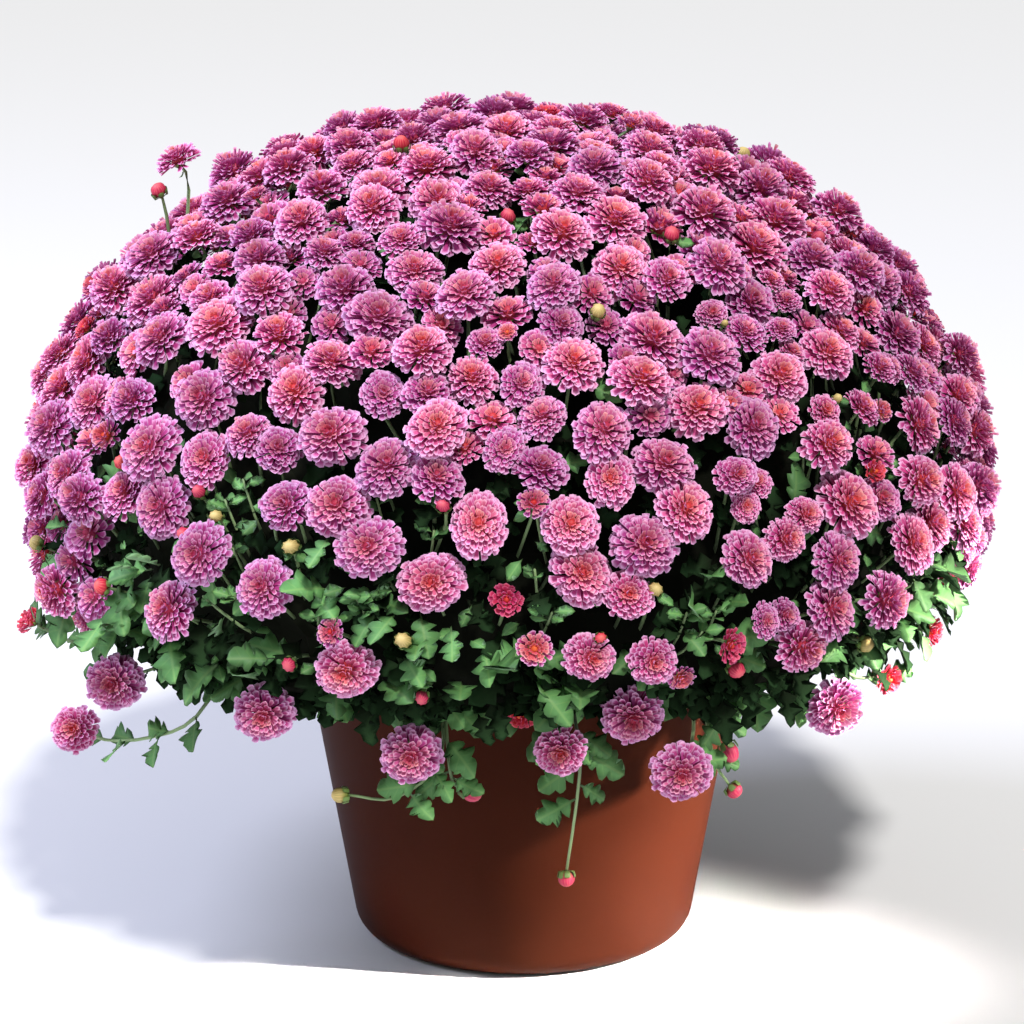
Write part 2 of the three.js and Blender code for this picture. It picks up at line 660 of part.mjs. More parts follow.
function branchCore(degrees) {
  const skin = new Skin();
  const half = 360 / BRANCHES / 2;
  const columns = [-half, 0, half].map((offset) => aroundFront(degrees + offset));
  const shift = BRANCH_GAP / Math.cos(radians(half / 2));
  const rings = branchProfile.map(([r, z]) => {
    const places = columns.map((column) => bunCentre.clone().setZ(z).addScaledVector(column, r));
    const [left, middle, right] = places;
    const inFromLeft = middle.clone().sub(left).normalize().multiplyScalar(shift);
    const inFromRight = middle.clone().sub(right).normalize().multiplyScalar(shift);
    return [left.add(inFromLeft), middle, right.add(inFromRight)].map((place) => skin.point(place));
  });
  const outline = branchProfile.map(([r, z]) => new THREE.Vector2(r, z));
  for (const [a, b, c] of THREE.ShapeUtils.triangulateShape(outline, [])) {
    skin.face(rings[a][0], rings[b][0], rings[c][0]);
    skin.face(rings[a][2], rings[c][2], rings[b][2]);
  }
  rings.forEach((ring, i) => {
    const next = rings[(i + 1) % rings.length];
    for (const side of [0, 1]) {
      skin.face(ring[side], ring[side + 1], next[side + 1]);
      skin.face(ring[side], next[side + 1], next[side]);
    }
  });
  return toSolid(skin.geometry());
}

// A chrysanthemum leaf's outline for one side, as shares of its length: lobes and notches.
const LEAF_SIDE = [[0.34, 0.29], [0.5, 0.15], [0.68, 0.33], [0.8, 0.14]];

function leaf(base, along, face, length, droop) {
  const skin = new Skin();
  const ahead = along.clone().normalize();
  const side = new THREE.Vector3().crossVectors(face, ahead).normalize();
  const out = new THREE.Vector3().crossVectors(ahead, side).normalize();
  const place = (x, y, rise) => base.clone()
    .addScaledVector(ahead, x * length)
    .addScaledVector(side, y * length)
    .addScaledVector(out, rise - droop * length * x * x);
  const outline = [[0, 0], ...LEAF_SIDE.map(([x, y]) => [x, -y]), [1, 0], ...LEAF_SIDE.slice().reverse()];
  const rim = outline.map(([x, y]) => skin.point(place(x, y, -Math.abs(y) * length * 0.12)));
  const top = skin.point(place(0.5, 0, LEAF.thickness / 2));
  const under = skin.point(place(0.5, 0, -LEAF.thickness / 2));
  rim.forEach((from, i) => {
    const to = rim[(i + 1) % rim.length];
    skin.face(from, to, top);
    skin.face(to, from, under);
  });
  return toSolid(skin.geometry());
}

function stem(points, radius, steps, sides = 3) {
  const corners = [];
  for (let k = 0; k < sides; k += 1) {
    const angle = (2 * Math.PI * k) / sides;
    corners.push(new THREE.Vector2(radius * Math.cos(angle), radius * Math.sin(angle)));
  }
  const path = new THREE.CatmullRomCurve3(points);
  const options = { steps, extrudePath: path, bevelEnabled: false };
  return toSolid(new THREE.ExtrudeGeometry(new THREE.Shape(corners), options));
}

function branchOf(degrees) {
  return THREE.MathUtils.euclideanModulo(Math.round((degrees * BRANCHES) / 360), BRANCHES);
}

// A bloom that stands near the line between two branches is moved to its own side.
function withinBranch(bloom) {
  const middle = (branchOf(bloom.degrees) * 360) / BRANCHES;
  const offset = THREE.MathUtils.euclideanModulo(bloom.degrees - middle + 180, 360) - 180;
  const room = 360 / BRANCHES / 2 - THREE.MathUtils.radToDeg((bloom.radius + 1.5) / BUN.reach);
  const moved = middle + THREE.MathUtils.clamp(offset, -room, room);
  const direction = bunDirection(moved, bloom.height);
  const lift = bloom.centre.distanceTo(bunCentre) - bunDistance(bloom.direction);
  bloom.centre = bunCentre.clone().addScaledVector(direction, bunDistance(direction) + lift);
  bloom.direction = direction;
  bloom.degrees = moved;
}

// Where a bloom of its own sits on its stalk: the foot is this far under the petals.
function footDepth(bloom) {
  return bloom.drawnRadius * 0.62;
}

function keepOutBody(bloom) {
  const swollen = { ...bloom, drawnRadius: bloom.drawnRadius * 1.06 + 1 };
  const base = bloom.centre.clone().addScaledVector(bloom.normal, -footDepth(bloom) - 2);
  const skin = new Skin();
  const foot = footPlaces(base, bloom.normal, 4).map((place) => skin.point(place));
  skin.face(foot[0], foot[2], foot[1]);
  const r = swollen.drawnRadius;
  const zero = new THREE.Vector3().crossVectors(bloom.normal, new THREE.Vector3(0.3, 0.5, 0.8));
  const low = raise(skin, foot, petalRing(swollen, zero, 5, r * 1.04, r * 1.04, -0.3 * r, -0.3 * r, -Math.PI / 3));
  const high = petalRing(swollen, zero, 5, r * 1.04, r * 1.04, 0.2 * r, 0.2 * r, -Math.PI / 3);
  const upper = high.map((place) => skin.point(place));
  low.forEach((from, k) => {
    const next = (k + 1) % low.length;
    skin.face(from, low[next], upper[next]);
    skin.face(from, upper[next], upper[k]);
  });
  cap(skin, upper, crownPlace(bloom, 0.5 * r));
  return toSolid(skin.geometry());
}

function branchLeaves(degrees, draw) {
  const leaves = [];
  for (let i = 0; i < LEAF.perBranch; i += 1) {
    const [a, b, c, d, e] = Array.from({ length: 5 }, draw);
    const hanging = i % 2 === 0;
    const turn = degrees + (((i + 0.5) / LEAF.perBranch - 0.5) * 38 + (a - 0.5) * 5);
    const outwards = aroundFront(turn);
    const reach = hanging ? 200 + b * 24 : 250 + b * 12;
    const height = hanging ? BRANCH.undersideHeight + 4 + b * 9 : 248 + c * 18;
    const base = bunCentre.clone().setZ(height).addScaledVector(outwards, reach);
    const length = between(LEAF.length, d);
    const along = outwards.clone().multiplyScalar(hanging ? 0.62 : 1);
    along.addScaledVector(upwards, hanging ? -0.72 : -0.35 + e * 0.3);
    along.addScaledVector(aroundFront(turn + 90), (c - 0.5) * 0.7);
    const face = outwards.clone().multiplyScalar(0.7).addScaledVector(upwards, 0.7);
    leaves.push(leaf(base, along, face, length, 0.12));
  }
  return leaves;
}

function stalkTo(bloom, gap) {
  const foot = bloom.centre.clone().addScaledVector(bloom.normal, -footDepth(bloom) - gap);
  const below = [-9, -4].map((depth) => foot.clone().addScaledVector(bloom.normal, depth));
  const root = bunCentre.clone().addScaledVector(bloom.direction, branchDistance(bloom.direction) - 6);
  return { foot, solid: stem([root, ...below, foot], STALK_RADIUS, 3) };
}

function leafyBranch(index, blooms, sprays, keptClear) {
  const degrees = (index * 360) / BRANCHES;
  const draw = seededRandom(500 + index);
  const core = branchCore(degrees);
  const half = radians(360 / BRANCHES / 2);
  const far = 420;
  const wide = Math.tan(half) * far;
  const middle = aroundFront(degrees);
  const right = aroundFront(degrees + 90);
  const corner = (ahead, across) => [
    BUN.x + middle.x * ahead + right.x * across, middle.y * ahead + right.y * across];
  const inset = BRANCH_GAP + 0.2;
  const wedge = toSolid(prism([
    corner(inset / Math.sin(half), 0), corner(far, wide - inset / Math.cos(half)),
    corner(far, -wide + inset / Math.cos(half))], 100, 287));
  const keepOut = wasm.Manifold.union(keptClear.map(keepOutBody));
  const leaves = wasm.Manifold.union(branchLeaves(degrees, draw)).intersect(wedge);
  const parts = [largestBody(core.add(leaves.subtract(keepOut)))];
  for (const bloom of blooms) {
    if (bloom.single && bloom.kind !== 'bud') {
      parts.push(stalkTo(bloom, SEAT_GAP).solid);
    } else {
      const root = bunCentre.clone().addScaledVector(bloom.direction, branchDistance(bloom.direction) - 4);
      parts.push(toSolid(closedBloom(bloom, root, 1)));
    }
  }
  for (const spray of sprays) {
    parts.push(...sprayStem(spray));
    const trimmed = wasm.Manifold.union(sprayLeaves(spray, draw)).subtract(keepOut);
    parts.push(trimmed);
  }

  const foot = bunCentre.clone().setZ(0).addScaledVector(middle, BRANCH.stemRing);
  const bottom = MIX.top - STEM_SOCKET.depth + 1;
  parts.push(toSolid(upright(
    BRANCH.stemRadius, bottom, BRANCH.undersideHeight + 8, STEM_SOCKET.sides, foot.x, foot.y)));
  return fromSolid(largestBody(wasm.Manifold.union(parts)));
}

// ---- Sprays ----
function sprayBloom(spray) {
  const normal = new THREE.Vector3(...spray.face).normalize();
  const radius = between(KINDS[spray.bloom].radius, 0.5);
  const end = new THREE.Vector3(...spray.points[spray.points.length - 1]);
  const bloom = { normal, radius, drawnRadius: radius, kind: spray.bloom };
  bloom.centre = end.clone().addScaledVector(normal, 6 + footDepth(bloom) + SEAT_GAP);
  return bloom;
}

function sprayPath(spray) {
  const points = spray.points.map((place) => new THREE.Vector3(...place));
  const end = points[points.length - 1];
  if (spray.bloom) {
    const normal = new THREE.Vector3(...spray.face).normalize();
    points.push(end.clone().addScaledVector(normal, 3), end.clone().addScaledVector(normal, 6));
  }
  return points;
}

function sprayStem(spray) {
  const points = sprayPath(spray);
  const parts = [stem(points, SPRAY_STEM_RADIUS, points.length + 1)];
  if (spray.bud) {
    const end = points[points.length - 1];
    const normal = end.clone().sub(points[points.length - 2]).normalize();
    const bud = { centre: end.clone().addScaledVector(normal, 3), normal, drawnRadius: spray.bud, kind: 'bud' };
    parts.push(toSolid(closedBloom(bud, end.clone().addScaledVector(normal, -3), 1)));
  }
  return parts;
}

function sprayLeaves(spray, draw) {
  const path = new THREE.CatmullRomCurve3(sprayPath(spray));
  const leaves = [];
  const count = Math.max(1, Math.round(path.getLength() / 52));
  for (let i = 0; i < count; i += 1) {
    const share = 0.42 + (0.45 * (i + draw() * 0.6)) / count;
    const base = path.getPointAt(share);
    const tangent = path.getTangentAt(share);
    const outwards = new THREE.Vector3(base.x, base.y, 0).normalize();
    const sideways = new THREE.Vector3().crossVectors(outwards, upwards).multiplyScalar(i % 2 ? 1 : -1);
    const along = sideways.multiplyScalar(0.8).addScaledVector(tangent, 0.55).addScaledVector(outwards, 0.25);
    leaves.push(leaf(base, along, outwards.addScaledVector(upwards, 0.5), 24 + draw() * 8, 0.1));
  }
  return leaves;
}

// ---- The pot and its filling ----
function potSolid() {
  const slope = Math.tan(radians(POT.taper));
  const wallLine = (z) => POT.rimRadius - (POT.height - z) * slope;
  const lean = radians(POT.taper);
  const heelRadius = wallLine(POT.heel) - POT.heel / Math.cos(lean);
  const outside = [[0, 0], [heelRadius, 0]];
  for (const share of [0.34, 0.67, 1]) {
    const turn = -Math.PI / 2 + share * (Math.PI / 2 - lean);
    outside.push([heelRadius + POT.heel * Math.cos(turn), POT.heel + POT.heel * Math.sin(turn)]);
  }
  const lipFoot = POT.height - POT.lipHeight;
  outside.push([wallLine(lipFoot), lipFoot], [wallLine(lipFoot) + POT.lip, lipFoot + 1.5]);
  outside.push([POT.rimRadius + POT.lip, POT.height]);
  const inside = [[POT.rimRadius - POT.wall, POT.height]];
  inside.push([wallLine(POT.heel) - POT.wall, POT.heel], [heelRadius, POT.wall], [0, POT.wall]);
  let solid = toSolid(lathe([...outside, ...inside], POT.sides));
  for (let i = 0; i < DRAIN.count; i += 1) {
    const at = aroundFront(45 + (i * 360) / DRAIN.count).multiplyScalar(DRAIN.ring);
    solid = solid.subtract(toSolid(upright(DRAIN.radius, -1, POT.wall + 1, DRAIN.sides, at.x, at.y)));
  }
  return fromSolid(solid);
}

function mixSolid() {
  const slope = Math.tan(radians(POT.taper));
  const radiusAt = (z) => POT.rimRadius - (POT.height - z) * slope - POT.wall;
  const facetRoom = Math.cos(Math.PI / POT.sides);
  const low = POT.wall + MIX.clearance;
  const shoulder = MIX.top - 3;
  const widest = radiusAt(shoulder) * facetRoom - MIX.clearance;
  const heel = radiusAt(POT.heel) * facetRoom - MIX.clearance;
  const floor = (radiusAt(POT.heel) - POT.heel) * facetRoom;
  let solid = toSolid(lathe([[0, low], [floor, low], [heel, POT.heel], [widest, shoulder],
    [widest - 6, MIX.top], [0, MIX.top + 2]], MIX.sides));
  for (let i = 0; i < BRANCHES; i += 1) {
    const at = aroundFront((i * 360) / BRANCHES).multiplyScalar(BRANCH.stemRing);
    const radius = BRANCH.stemRadius + STEM_SOCKET.clearance;
    solid = solid.subtract(toSolid(upright(
      radius, MIX.top - STEM_SOCKET.depth, MIX.top + 10, STEM_SOCKET.sides, at.x + BUN.x, at.y)));
  }
  return fromSolid(solid);
}

// ---- Assembly ----
const plant = new THREE.Group();

function addPiece(name, geometry, material) {
  const mesh = new THREE.Mesh(geometry, material);
  mesh.name = name;
  plant.add(mesh);
}

addPiece('pot', potSolid(), potMaterial);
addPiece('potting_mix', mixSolid(), mixMaterial);

const blooms = placeBlooms();
for (const bloom of blooms.filter((each) => each.height < WAIST)) withinBranch(bloom);
const sprayBlooms = SPRAYS.filter((spray) => spray.bloom).map(sprayBloom);
clearNeighbours([...blooms, ...sprayBlooms]);

const clusterTable = areaTable(WAIST, () => 1);
let centres = Array.from({ length: CLUSTERS }, (_, i) => bunDirection(
  i * GOLDEN_ANGLE, heightAt(clusterTable, (i + 0.5) / CLUSTERS)));
const domeBlooms = blooms.filter((bloom) => bloom.height >= WAIST);
let held = shareOut(domeBlooms, centres);
for (let pass = 0; pass < 4; pass += 1) {
  centres = held.map((group) => group.reduce(
    (sum, bloom) => sum.add(bloom.direction), new THREE.Vector3()).normalize());
  held = shareOut(domeBlooms, centres);
}
centres.forEach((_, i) => {
  const name = `bloom_cluster_${String(i + 1).padStart(2, '0')}`;
  addPiece(name, bloomCluster(centres, i, held[i]), petalMaterial);
});

const lone = [...blooms.filter((bloom) => bloom.single && bloom.kind !== 'bud'), ...sprayBlooms];
for (let i = 0; i < BRANCHES; i += 1) {
  const own = blooms.filter((bloom) => bloom.height < WAIST && branchOf(bloom.degrees) === i);
  const sprays = SPRAYS.filter((spray) => spray.branch === i);
  addPiece(`leafy_branch_${i + 1}`, leafyBranch(i, own, sprays, lone), leafMaterial);
}
lone.forEach((bloom, i) => {
  const base = bloom.centre.clone().addScaledVector(bloom.normal, -footDepth(bloom));
  const tiers = bloom.kind === 'young' ? 1 : 2;
  const name = `skirt_bloom_${String(i + 1).padStart(2, '0')}`;
  addPiece(name, closedBloom(bloom, base, tiers), bloom.kind === 'young' ? youngMaterial : petalMaterial);
});

export default plant;
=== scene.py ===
# %% [markdown]
# # A garden chrysanthemum in a pan pot
# This lesson dresses a packed set of solids as a living plant: a low bun of double blooms over
# lobed leaves, in a round plastic pot. The solids say where every bloom, branch and spray is.
# We load them first and never move them; each one is then replaced by a finer piece that stands
# in the same place. Everything is modelled in millimetres and shrunk to metres at the very end.

# %% Load the solids as a fixed frame
import math
from types import SimpleNamespace

import bmesh
import bpy
from mathutils import Matrix, Vector, kdtree, noise


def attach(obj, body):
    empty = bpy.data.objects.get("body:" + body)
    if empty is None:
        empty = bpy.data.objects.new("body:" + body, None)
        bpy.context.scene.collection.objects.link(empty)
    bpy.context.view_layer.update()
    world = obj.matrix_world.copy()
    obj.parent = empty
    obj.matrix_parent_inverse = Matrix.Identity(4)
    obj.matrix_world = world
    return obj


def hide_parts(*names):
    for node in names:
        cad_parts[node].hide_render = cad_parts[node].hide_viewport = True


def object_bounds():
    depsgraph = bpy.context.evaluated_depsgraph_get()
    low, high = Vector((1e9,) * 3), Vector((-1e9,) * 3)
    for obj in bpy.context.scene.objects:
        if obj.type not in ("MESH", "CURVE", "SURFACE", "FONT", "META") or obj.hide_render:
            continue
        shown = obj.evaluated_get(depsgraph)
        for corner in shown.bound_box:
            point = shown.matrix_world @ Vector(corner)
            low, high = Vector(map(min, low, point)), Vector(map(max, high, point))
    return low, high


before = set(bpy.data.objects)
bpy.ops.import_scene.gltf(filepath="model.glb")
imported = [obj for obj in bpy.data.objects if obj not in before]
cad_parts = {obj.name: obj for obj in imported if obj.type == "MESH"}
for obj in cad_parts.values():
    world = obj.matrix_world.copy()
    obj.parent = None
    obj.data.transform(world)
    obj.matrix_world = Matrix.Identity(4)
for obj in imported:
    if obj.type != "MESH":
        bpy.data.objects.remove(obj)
cad_low, cad_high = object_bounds()
MM = 0.001
print("CAD box in mm:", [round(v / MM) for v in (*cad_low, *cad_high)])

# %% [markdown]
# ## Chance that comes out the same every time
# A plant needs scatter, but the lesson has to grow the same plant on every run. We write a small
# seeded generator instead of using Python's own, because the solids were placed with this one:
# drawing the same numbers in the same order puts our blooms exactly where the solids are.

# %% A small seeded generator
WORD = 0xFFFFFFFF
STRIDE = 0x6D2B79F5


def seeded_random(seed):
    state = seed

    def draw():
        nonlocal state
        state = (state + STRIDE) & WORD
        t = ((state ^ (state >> 15)) * (state | 1)) & WORD
        t ^= (t + (((t ^ (t >> 7)) * (t | 61)) & WORD)) & WORD
        return ((t ^ (t >> 14)) & WORD) / (WORD + 1)

    return draw


def several(draw, count):
    return [draw() for _ in range(count)]


def between(low, high, share):
    return low + (high - low) * share


def within(value, span):
    return span[0] < value < span[1]


print("three draws:", [round(value, 3) for value in several(seeded_random(20), 3)])

# %% [markdown]
# ## The bun
# The middles of the blooms lie on a smooth bun: half an ellipsoid above its widest level and a
# shallower half below. A formula for the bun is better than a sculpted mesh here, because the
# blooms, the leaves between them and the stems under them all measure their depth from it.

# %% The bun's surface
BUN = SimpleNamespace(x=-10.0, z=298.0, reach=318.0, up=256.0, down=120.0, lowest=238.0)
BUN_CENTRE = Vector((BUN.x, 0.0, BUN.z))
PLANT_AXIS = Vector((BUN.x, 0.0, 0.0))
UPWARDS = Vector((0.0, 0.0, 1.0))
FULL_TURN = 2 * math.pi


def around_front(degrees):
    """A level direction: 0 is the front, -Y, and positive angles turn towards +X."""
    return Vector((math.sin(math.radians(degrees)), -math.cos(math.radians(degrees)), 0.0))


def rimwise(degrees):
    """The level direction along the rim there, a quarter turn further on."""
    return around_front(degrees + 90)


def bun_half(rise):
    return BUN.up if rise >= 0 else BUN.down


def bun_distance(direction):
    level = (direction.x**2 + direction.y**2) / BUN.reach**2
    return 1 / math.sqrt(level + (direction.z / bun_half(direction.z)) ** 2)


def bun_radius(height):
    rise = (height - BUN.z) / bun_half(height - BUN.z)
    return BUN.reach * math.sqrt(max(0.0, 1 - rise**2))


def bun_direction(degrees, height):
    place = around_front(degrees) * bun_radius(height)
    place.z = height - BUN.z
    return place.normalized()


def bun_normal(direction):
    level = BUN.reach**2
    steep = bun_half(direction.z) ** 2
    return Vector((direction.x / level, direction.y / level, direction.z / steep)).normalized()


def on_bun(direction, lift):
    return BUN_CENTRE + direction * (bun_distance(direction) + lift)


print("bun across and high, in mm:", round(2 * bun_radius(BUN.z)), round(BUN.up + BUN.down))

# %% [markdown]
# ## Even shares of a curved surface
# Blooms must be spread evenly over the bun's area, not over its height, or they would crowd at
# the top. We walk down the bun's profile once and keep a running total of its area. Any share of
# the total can then be turned into a height. A weight thins the blooms where we want fewer.

# %% From a share of the area to a height
PROFILE_STEPS = 720


def area_table(lowest, weight):
    table = [(BUN.z + BUN.up, 0.0)]
    total = 0.0
    before = (0.0, BUN.z + BUN.up)
    for i in range(1, PROFILE_STEPS + 1):
        turn = math.pi * i / PROFILE_STEPS
        half = BUN.up if turn < math.pi / 2 else BUN.down
        now = (BUN.reach * math.sin(turn), BUN.z + half * math.cos(turn))
        if now[1] < lowest:
            break
        total += math.dist(before, now) * (before[0] + now[0]) / 2 * weight(now[1])
        table.append((now[1], total))
        before = now
    return table


def height_at(table, share):
    wanted = share * table[-1][1]
    i = 1
    while table[i][1] < wanted:
        i += 1
    (above, less), (below, more) = table[i - 1], table[i]
    return above + (below - above) * (wanted - less) / (more - less)


even_table = area_table(BUN.lowest, lambda height: 1.0)
print("half of the bun's area lies above", round(height_at(even_table, 0.5)), "mm")

# %% [markdown]
# ## Where each bloom stands
# Most blooms follow a golden-angle lattice, the packing of seeds in a sunflower head, shaken a
# little. The front ones, which a visitor sees one by one, are listed as degrees round from the
# front, height and kind. Full and medium blooms are open; young ones are cupped. Three strays
# stand clear of the dome, by the last number in their row.

# %% The kinds of bloom and the listed ones
KINDS = {"full": (17.6, 20.2), "medium": (14.8, 17.2), "young": (8.6, 11.2), "bud": (4.6, 6.2)}

FRONT_BLOOMS = [
    (-8, 326, "full"), (8, 331, "full"), (13, 319, "medium"), (-27, 317, "full"),
    (27, 334, "full"), (39, 323, "full"), (32, 342, "full"), (52, 321, "full"),
    (65, 317, "full"), (-15, 347, "full"), (-19, 369, "full"), (-3, 361, "full"),
    (7, 361, "full"), (15, 348, "full"), (-25, 366, "medium"), (35, 354, "full"),
    (0, 318, "young"), (-38, 340, "bud"), (-34, 354, "bud"), (-37, 366, "bud"),
    (-24, 343, "bud"), (-7, 372, "bud"), (3, 374, "young"), (16, 322, "bud"), (20, 366, "full"),
    (-40, 292, "full"), (-18, 269, "full"), (9, 281, "full"), (38, 299, "full"),
    (35, 272, "full"), (29, 299, "medium"), (47, 290, "full"), (16, 277, "medium"),
    (-19, 299, "young"), (3, 288, "young"), (25, 282, "young"), (20, 262, "young"),
    (-52, 293, "bud"), (-25, 268, "bud"), (-11, 293, "bud"), (10, 299, "bud"),
    (-10, 250, "bud"), (27, 262, "bud"), (48, 257, "bud"),
]
STRAYS = [(-90, 502, "medium", 34), (-84, 492, "bud", 27), (80, 546, "young", 6)]
print("blooms listed by hand:", len(FRONT_BLOOMS) + len(STRAYS))

# %% [markdown]
# A bloom is a small record: its middle on the bun, the way it faces, its radius and its kind. It
# faces outwards from the bun, turned up towards the light and nodding a little to one side. The
# waist parts the skirt from the dome, so no bloom may straddle it.

# %% Make the record of one bloom
WAIST = 308.0
WAIST_CLEAR_ABOVE = 5.0
WAIST_CLEAR_BELOW = 13.0
SKIRT_UPTURN = 0.45
DOME_UPTURN = 0.2


def clear_of_waist(height):
    if height >= WAIST:
        return max(height, WAIST + WAIST_CLEAR_ABOVE)
    return min(height, WAIST - WAIST_CLEAR_BELOW)


def make_bloom(degrees, height, kind, lift, tilt, lean, share, turn):
    """lift: how far off the bun; tilt and lean: which way and how far the bloom nods."""
    settled = clear_of_waist(height)
    direction = bun_direction(degrees, settled)
    normal = bun_normal(direction)
    across = normal.cross(rimwise(degrees))
    normal += UPWARDS * (SKIRT_UPTURN if settled < WAIST else DOME_UPTURN)
    normal += rimwise(degrees) * (lean * math.cos(tilt)) + across * (lean * math.sin(tilt))
    return SimpleNamespace(
        degrees=degrees, height=settled, direction=direction, centre=on_bun(direction, lift),
        normal=normal.normalized(), radius=between(*KINDS[kind], share), kind=kind,
        lift=lift, turn=turn, single=False, listed=False, stray=False)


print("a bloom's middle:", [round(v) for v in make_bloom(0, 400, "full", 0, 0, 0, 0, 0).centre])

# %% [markdown]
# The scattered blooms are sparser low down, where the plant is leafy, and on the front left
# shoulder, its thinnest side. Buds and young blooms are commoner in the skirt than on the dome.
# A scattered bloom gives way where a listed one already stands.

# %% How likely each kind of bloom is, and where
SPARSEST = 0.62
SPARSE_BELOW = 300
FULLER_OVER = 90
THIN_SHOULDER = (-62, -10)
BARE_CHANCES = ((385, 0.42), (440, 0.16))
BARE_ELSEWHERE = 0.03
DOME_MIX = (0.05, 0.13, 0.32)
SKIRT_MIX = (0.12, 0.27, 0.45)
CROWD_ROOM = 11.5
STRAY_ROOM = 27.0
LIFT = 7.0


def bloom_density(height):
    return min(1.0, max(SPARSEST, SPARSEST + (height - SPARSE_BELOW) / FULLER_OVER))


def bareness(degrees, height):
    if within(degrees, THIN_SHOULDER):
        for top, chance in BARE_CHANCES:
            if height < top:
                return chance
    return BARE_ELSEWHERE


def kind_for(share, height):
    for limit, kind in zip(SKIRT_MIX if height < WAIST else DOME_MIX, ("bud", "young", "medium")):
        if share < limit:
            return kind
    return "full"


def crowded(bloom, listed):
    for other in listed:
        if (other.centre - bloom.centre).length < other.radius + CROWD_ROOM:
            return True
        beside = (other.direction - bloom.direction).length * BUN.reach
        if other.stray and other.lift > LIFT and beside < STRAY_ROOM:
            return True
    return False


print("bare places on the shoulder and elsewhere:", bareness(-30, 350), bareness(30, 350))

# %% [markdown]
# Now both lists are drawn up. Each bloom takes its draws in a fixed order, whether or not it is
# kept, so that leaving one out never moves the others.

# %% Place the blooms by the solids' own rule
BLOOM_COUNT = 430
SPACING_JITTER = 4.2
GOLDEN_ANGLE = 180 * (3 - math.sqrt(5))
FRONT_ARC = (-57, 69)
FRONT_TOP = 313


def listed_blooms(draw):
    listed = []
    for degrees, height, kind, *lifted in FRONT_BLOOMS + STRAYS:
        tilt, lean, share, turn = draw() * FULL_TURN, draw() * 0.2, draw(), draw()
        lift = lifted[0] if lifted else 0
        bloom = make_bloom(degrees, height, kind, lift, tilt, lean, share, turn)
        bloom.single = height < WAIST
        bloom.listed = True
        bloom.stray = lift > 0
        listed.append(bloom)
    return listed


def scattered_blooms(draw, listed):
    table = area_table(BUN.lowest, bloom_density)
    scattered = []
    for i in range(BLOOM_COUNT):
        climb, shift, lift, tilt, lean, mix, share, turn, luck = several(draw, 9)
        even = height_at(table, (i + 0.5) / BLOOM_COUNT)
        slope = bun_normal(bun_direction(0, even))
        height = even + (climb - 0.5) * 2 * SPACING_JITTER * math.hypot(slope.x, slope.y)
        shake = (shift - 0.5) * 2 * SPACING_JITTER / max(bun_radius(height), 25)
        degrees = (i * GOLDEN_ANGLE + math.degrees(shake) + 180) % 360 - 180
        bloom = make_bloom(degrees, max(height, BUN.lowest), kind_for(mix, height),
                           (lift - 0.5) * 2 * LIFT, tilt * FULL_TURN, lean * 0.3, share, turn)
        in_front = height < FRONT_TOP and within(degrees, FRONT_ARC)
        bare = luck <= bareness(degrees, height)
        if not in_front and not bare and not crowded(bloom, listed):
            scattered.append(bloom)
    return scattered


placing = seeded_random(20)
blooms = listed_blooms(placing)
blooms += scattered_blooms(placing, list(blooms))
print("blooms:", {kind: sum(b.kind == kind for b in blooms) for kind in KINDS})

# %% [markdown]
# ## Which branch holds which bloom
# The plant forks low down into eight branches, each a slice of the whole. A skirt bloom near the
# line between two slices is moved to its own side, so that each slice can be lifted out.

# %% Keep the skirt's blooms inside their branches
BRANCHES = 8
SLICE = 360 / BRANCHES
BRANCH_CLEARANCE = 1.5


def branch_of(degrees):
    return math.floor(degrees * BRANCHES / 360 + 0.5) % BRANCHES


def within_branch(bloom):
    middle = branch_of(bloom.degrees) * 360 / BRANCHES
    offset = (bloom.degrees - middle + 180) % 360 - 180
    room = SLICE / 2 - math.degrees((bloom.radius + BRANCH_CLEARANCE) / BUN.reach)
    moved = middle + min(room, max(-room, offset))
    lift = (bloom.centre - BUN_CENTRE).length - bun_distance(bloom.direction)
    bloom.direction = bun_direction(moved, bloom.height)
    bloom.centre = on_bun(bloom.direction, lift)
    bloom.degrees = moved


def in_skirt(every):
    return [bloom for bloom in every if bloom.height < WAIST]


for bloom in in_skirt(blooms):
    within_branch(bloom)
print("blooms in the skirt:", len(in_skirt(blooms)))

# %% [markdown]
# ## Which bunch holds which bloom
# The solids gather the dome's blooms into bunches round evenly spread middles. We find the same
# middles with the same few passes of averaging, so that each piece stands in for one bunch.

# %% Share the dome's blooms out among the bunches
BUNCHES = 23
AVERAGING_PASSES = 4


def nearest_middle(bloom, middles):
    nearness = [middle.dot(bloom.direction) for middle in middles]
    return nearness.index(max(nearness))


def share_out(held_blooms, middles):
    held = [[] for _ in middles]
    for bloom in held_blooms:
        held[nearest_middle(bloom, middles)].append(bloom)
    return held


bunch_table = area_table(WAIST, lambda height: 1.0)
bunch_middles = [
    bun_direction(i * GOLDEN_ANGLE, height_at(bunch_table, (i + 0.5) / BUNCHES))
    for i in range(BUNCHES)
]
dome_blooms = [bloom for bloom in blooms if bloom.height >= WAIST]
bunches = share_out(dome_blooms, bunch_middles)
for _ in range(AVERAGING_PASSES):
    bunch_middles = [
        sum((bloom.direction for bloom in bunch), Vector((0, 0, 0))).normalized()
        for bunch in bunches
    ]
    bunches = share_out(dome_blooms, bunch_middles)
print("blooms to a bunch:", [len(bunch) for bunch in bunches])

# %% [markdown]
# ## A less tidy crowd
# A lattice alone looks combed. Each scattered bloom is therefore pushed a few millimetres to one
# side, grows a little larger or smaller, and every head on the dome leans towards the sun.

# %% Push, swell and lean the dome's blooms
SUNWARD = Vector((0.30, -0.80, 0.50))
PUSH = 10.0


def lean_to_sun(bloom, amount):
    bloom.normal = (bloom.normal + SUNWARD * amount).normalized()


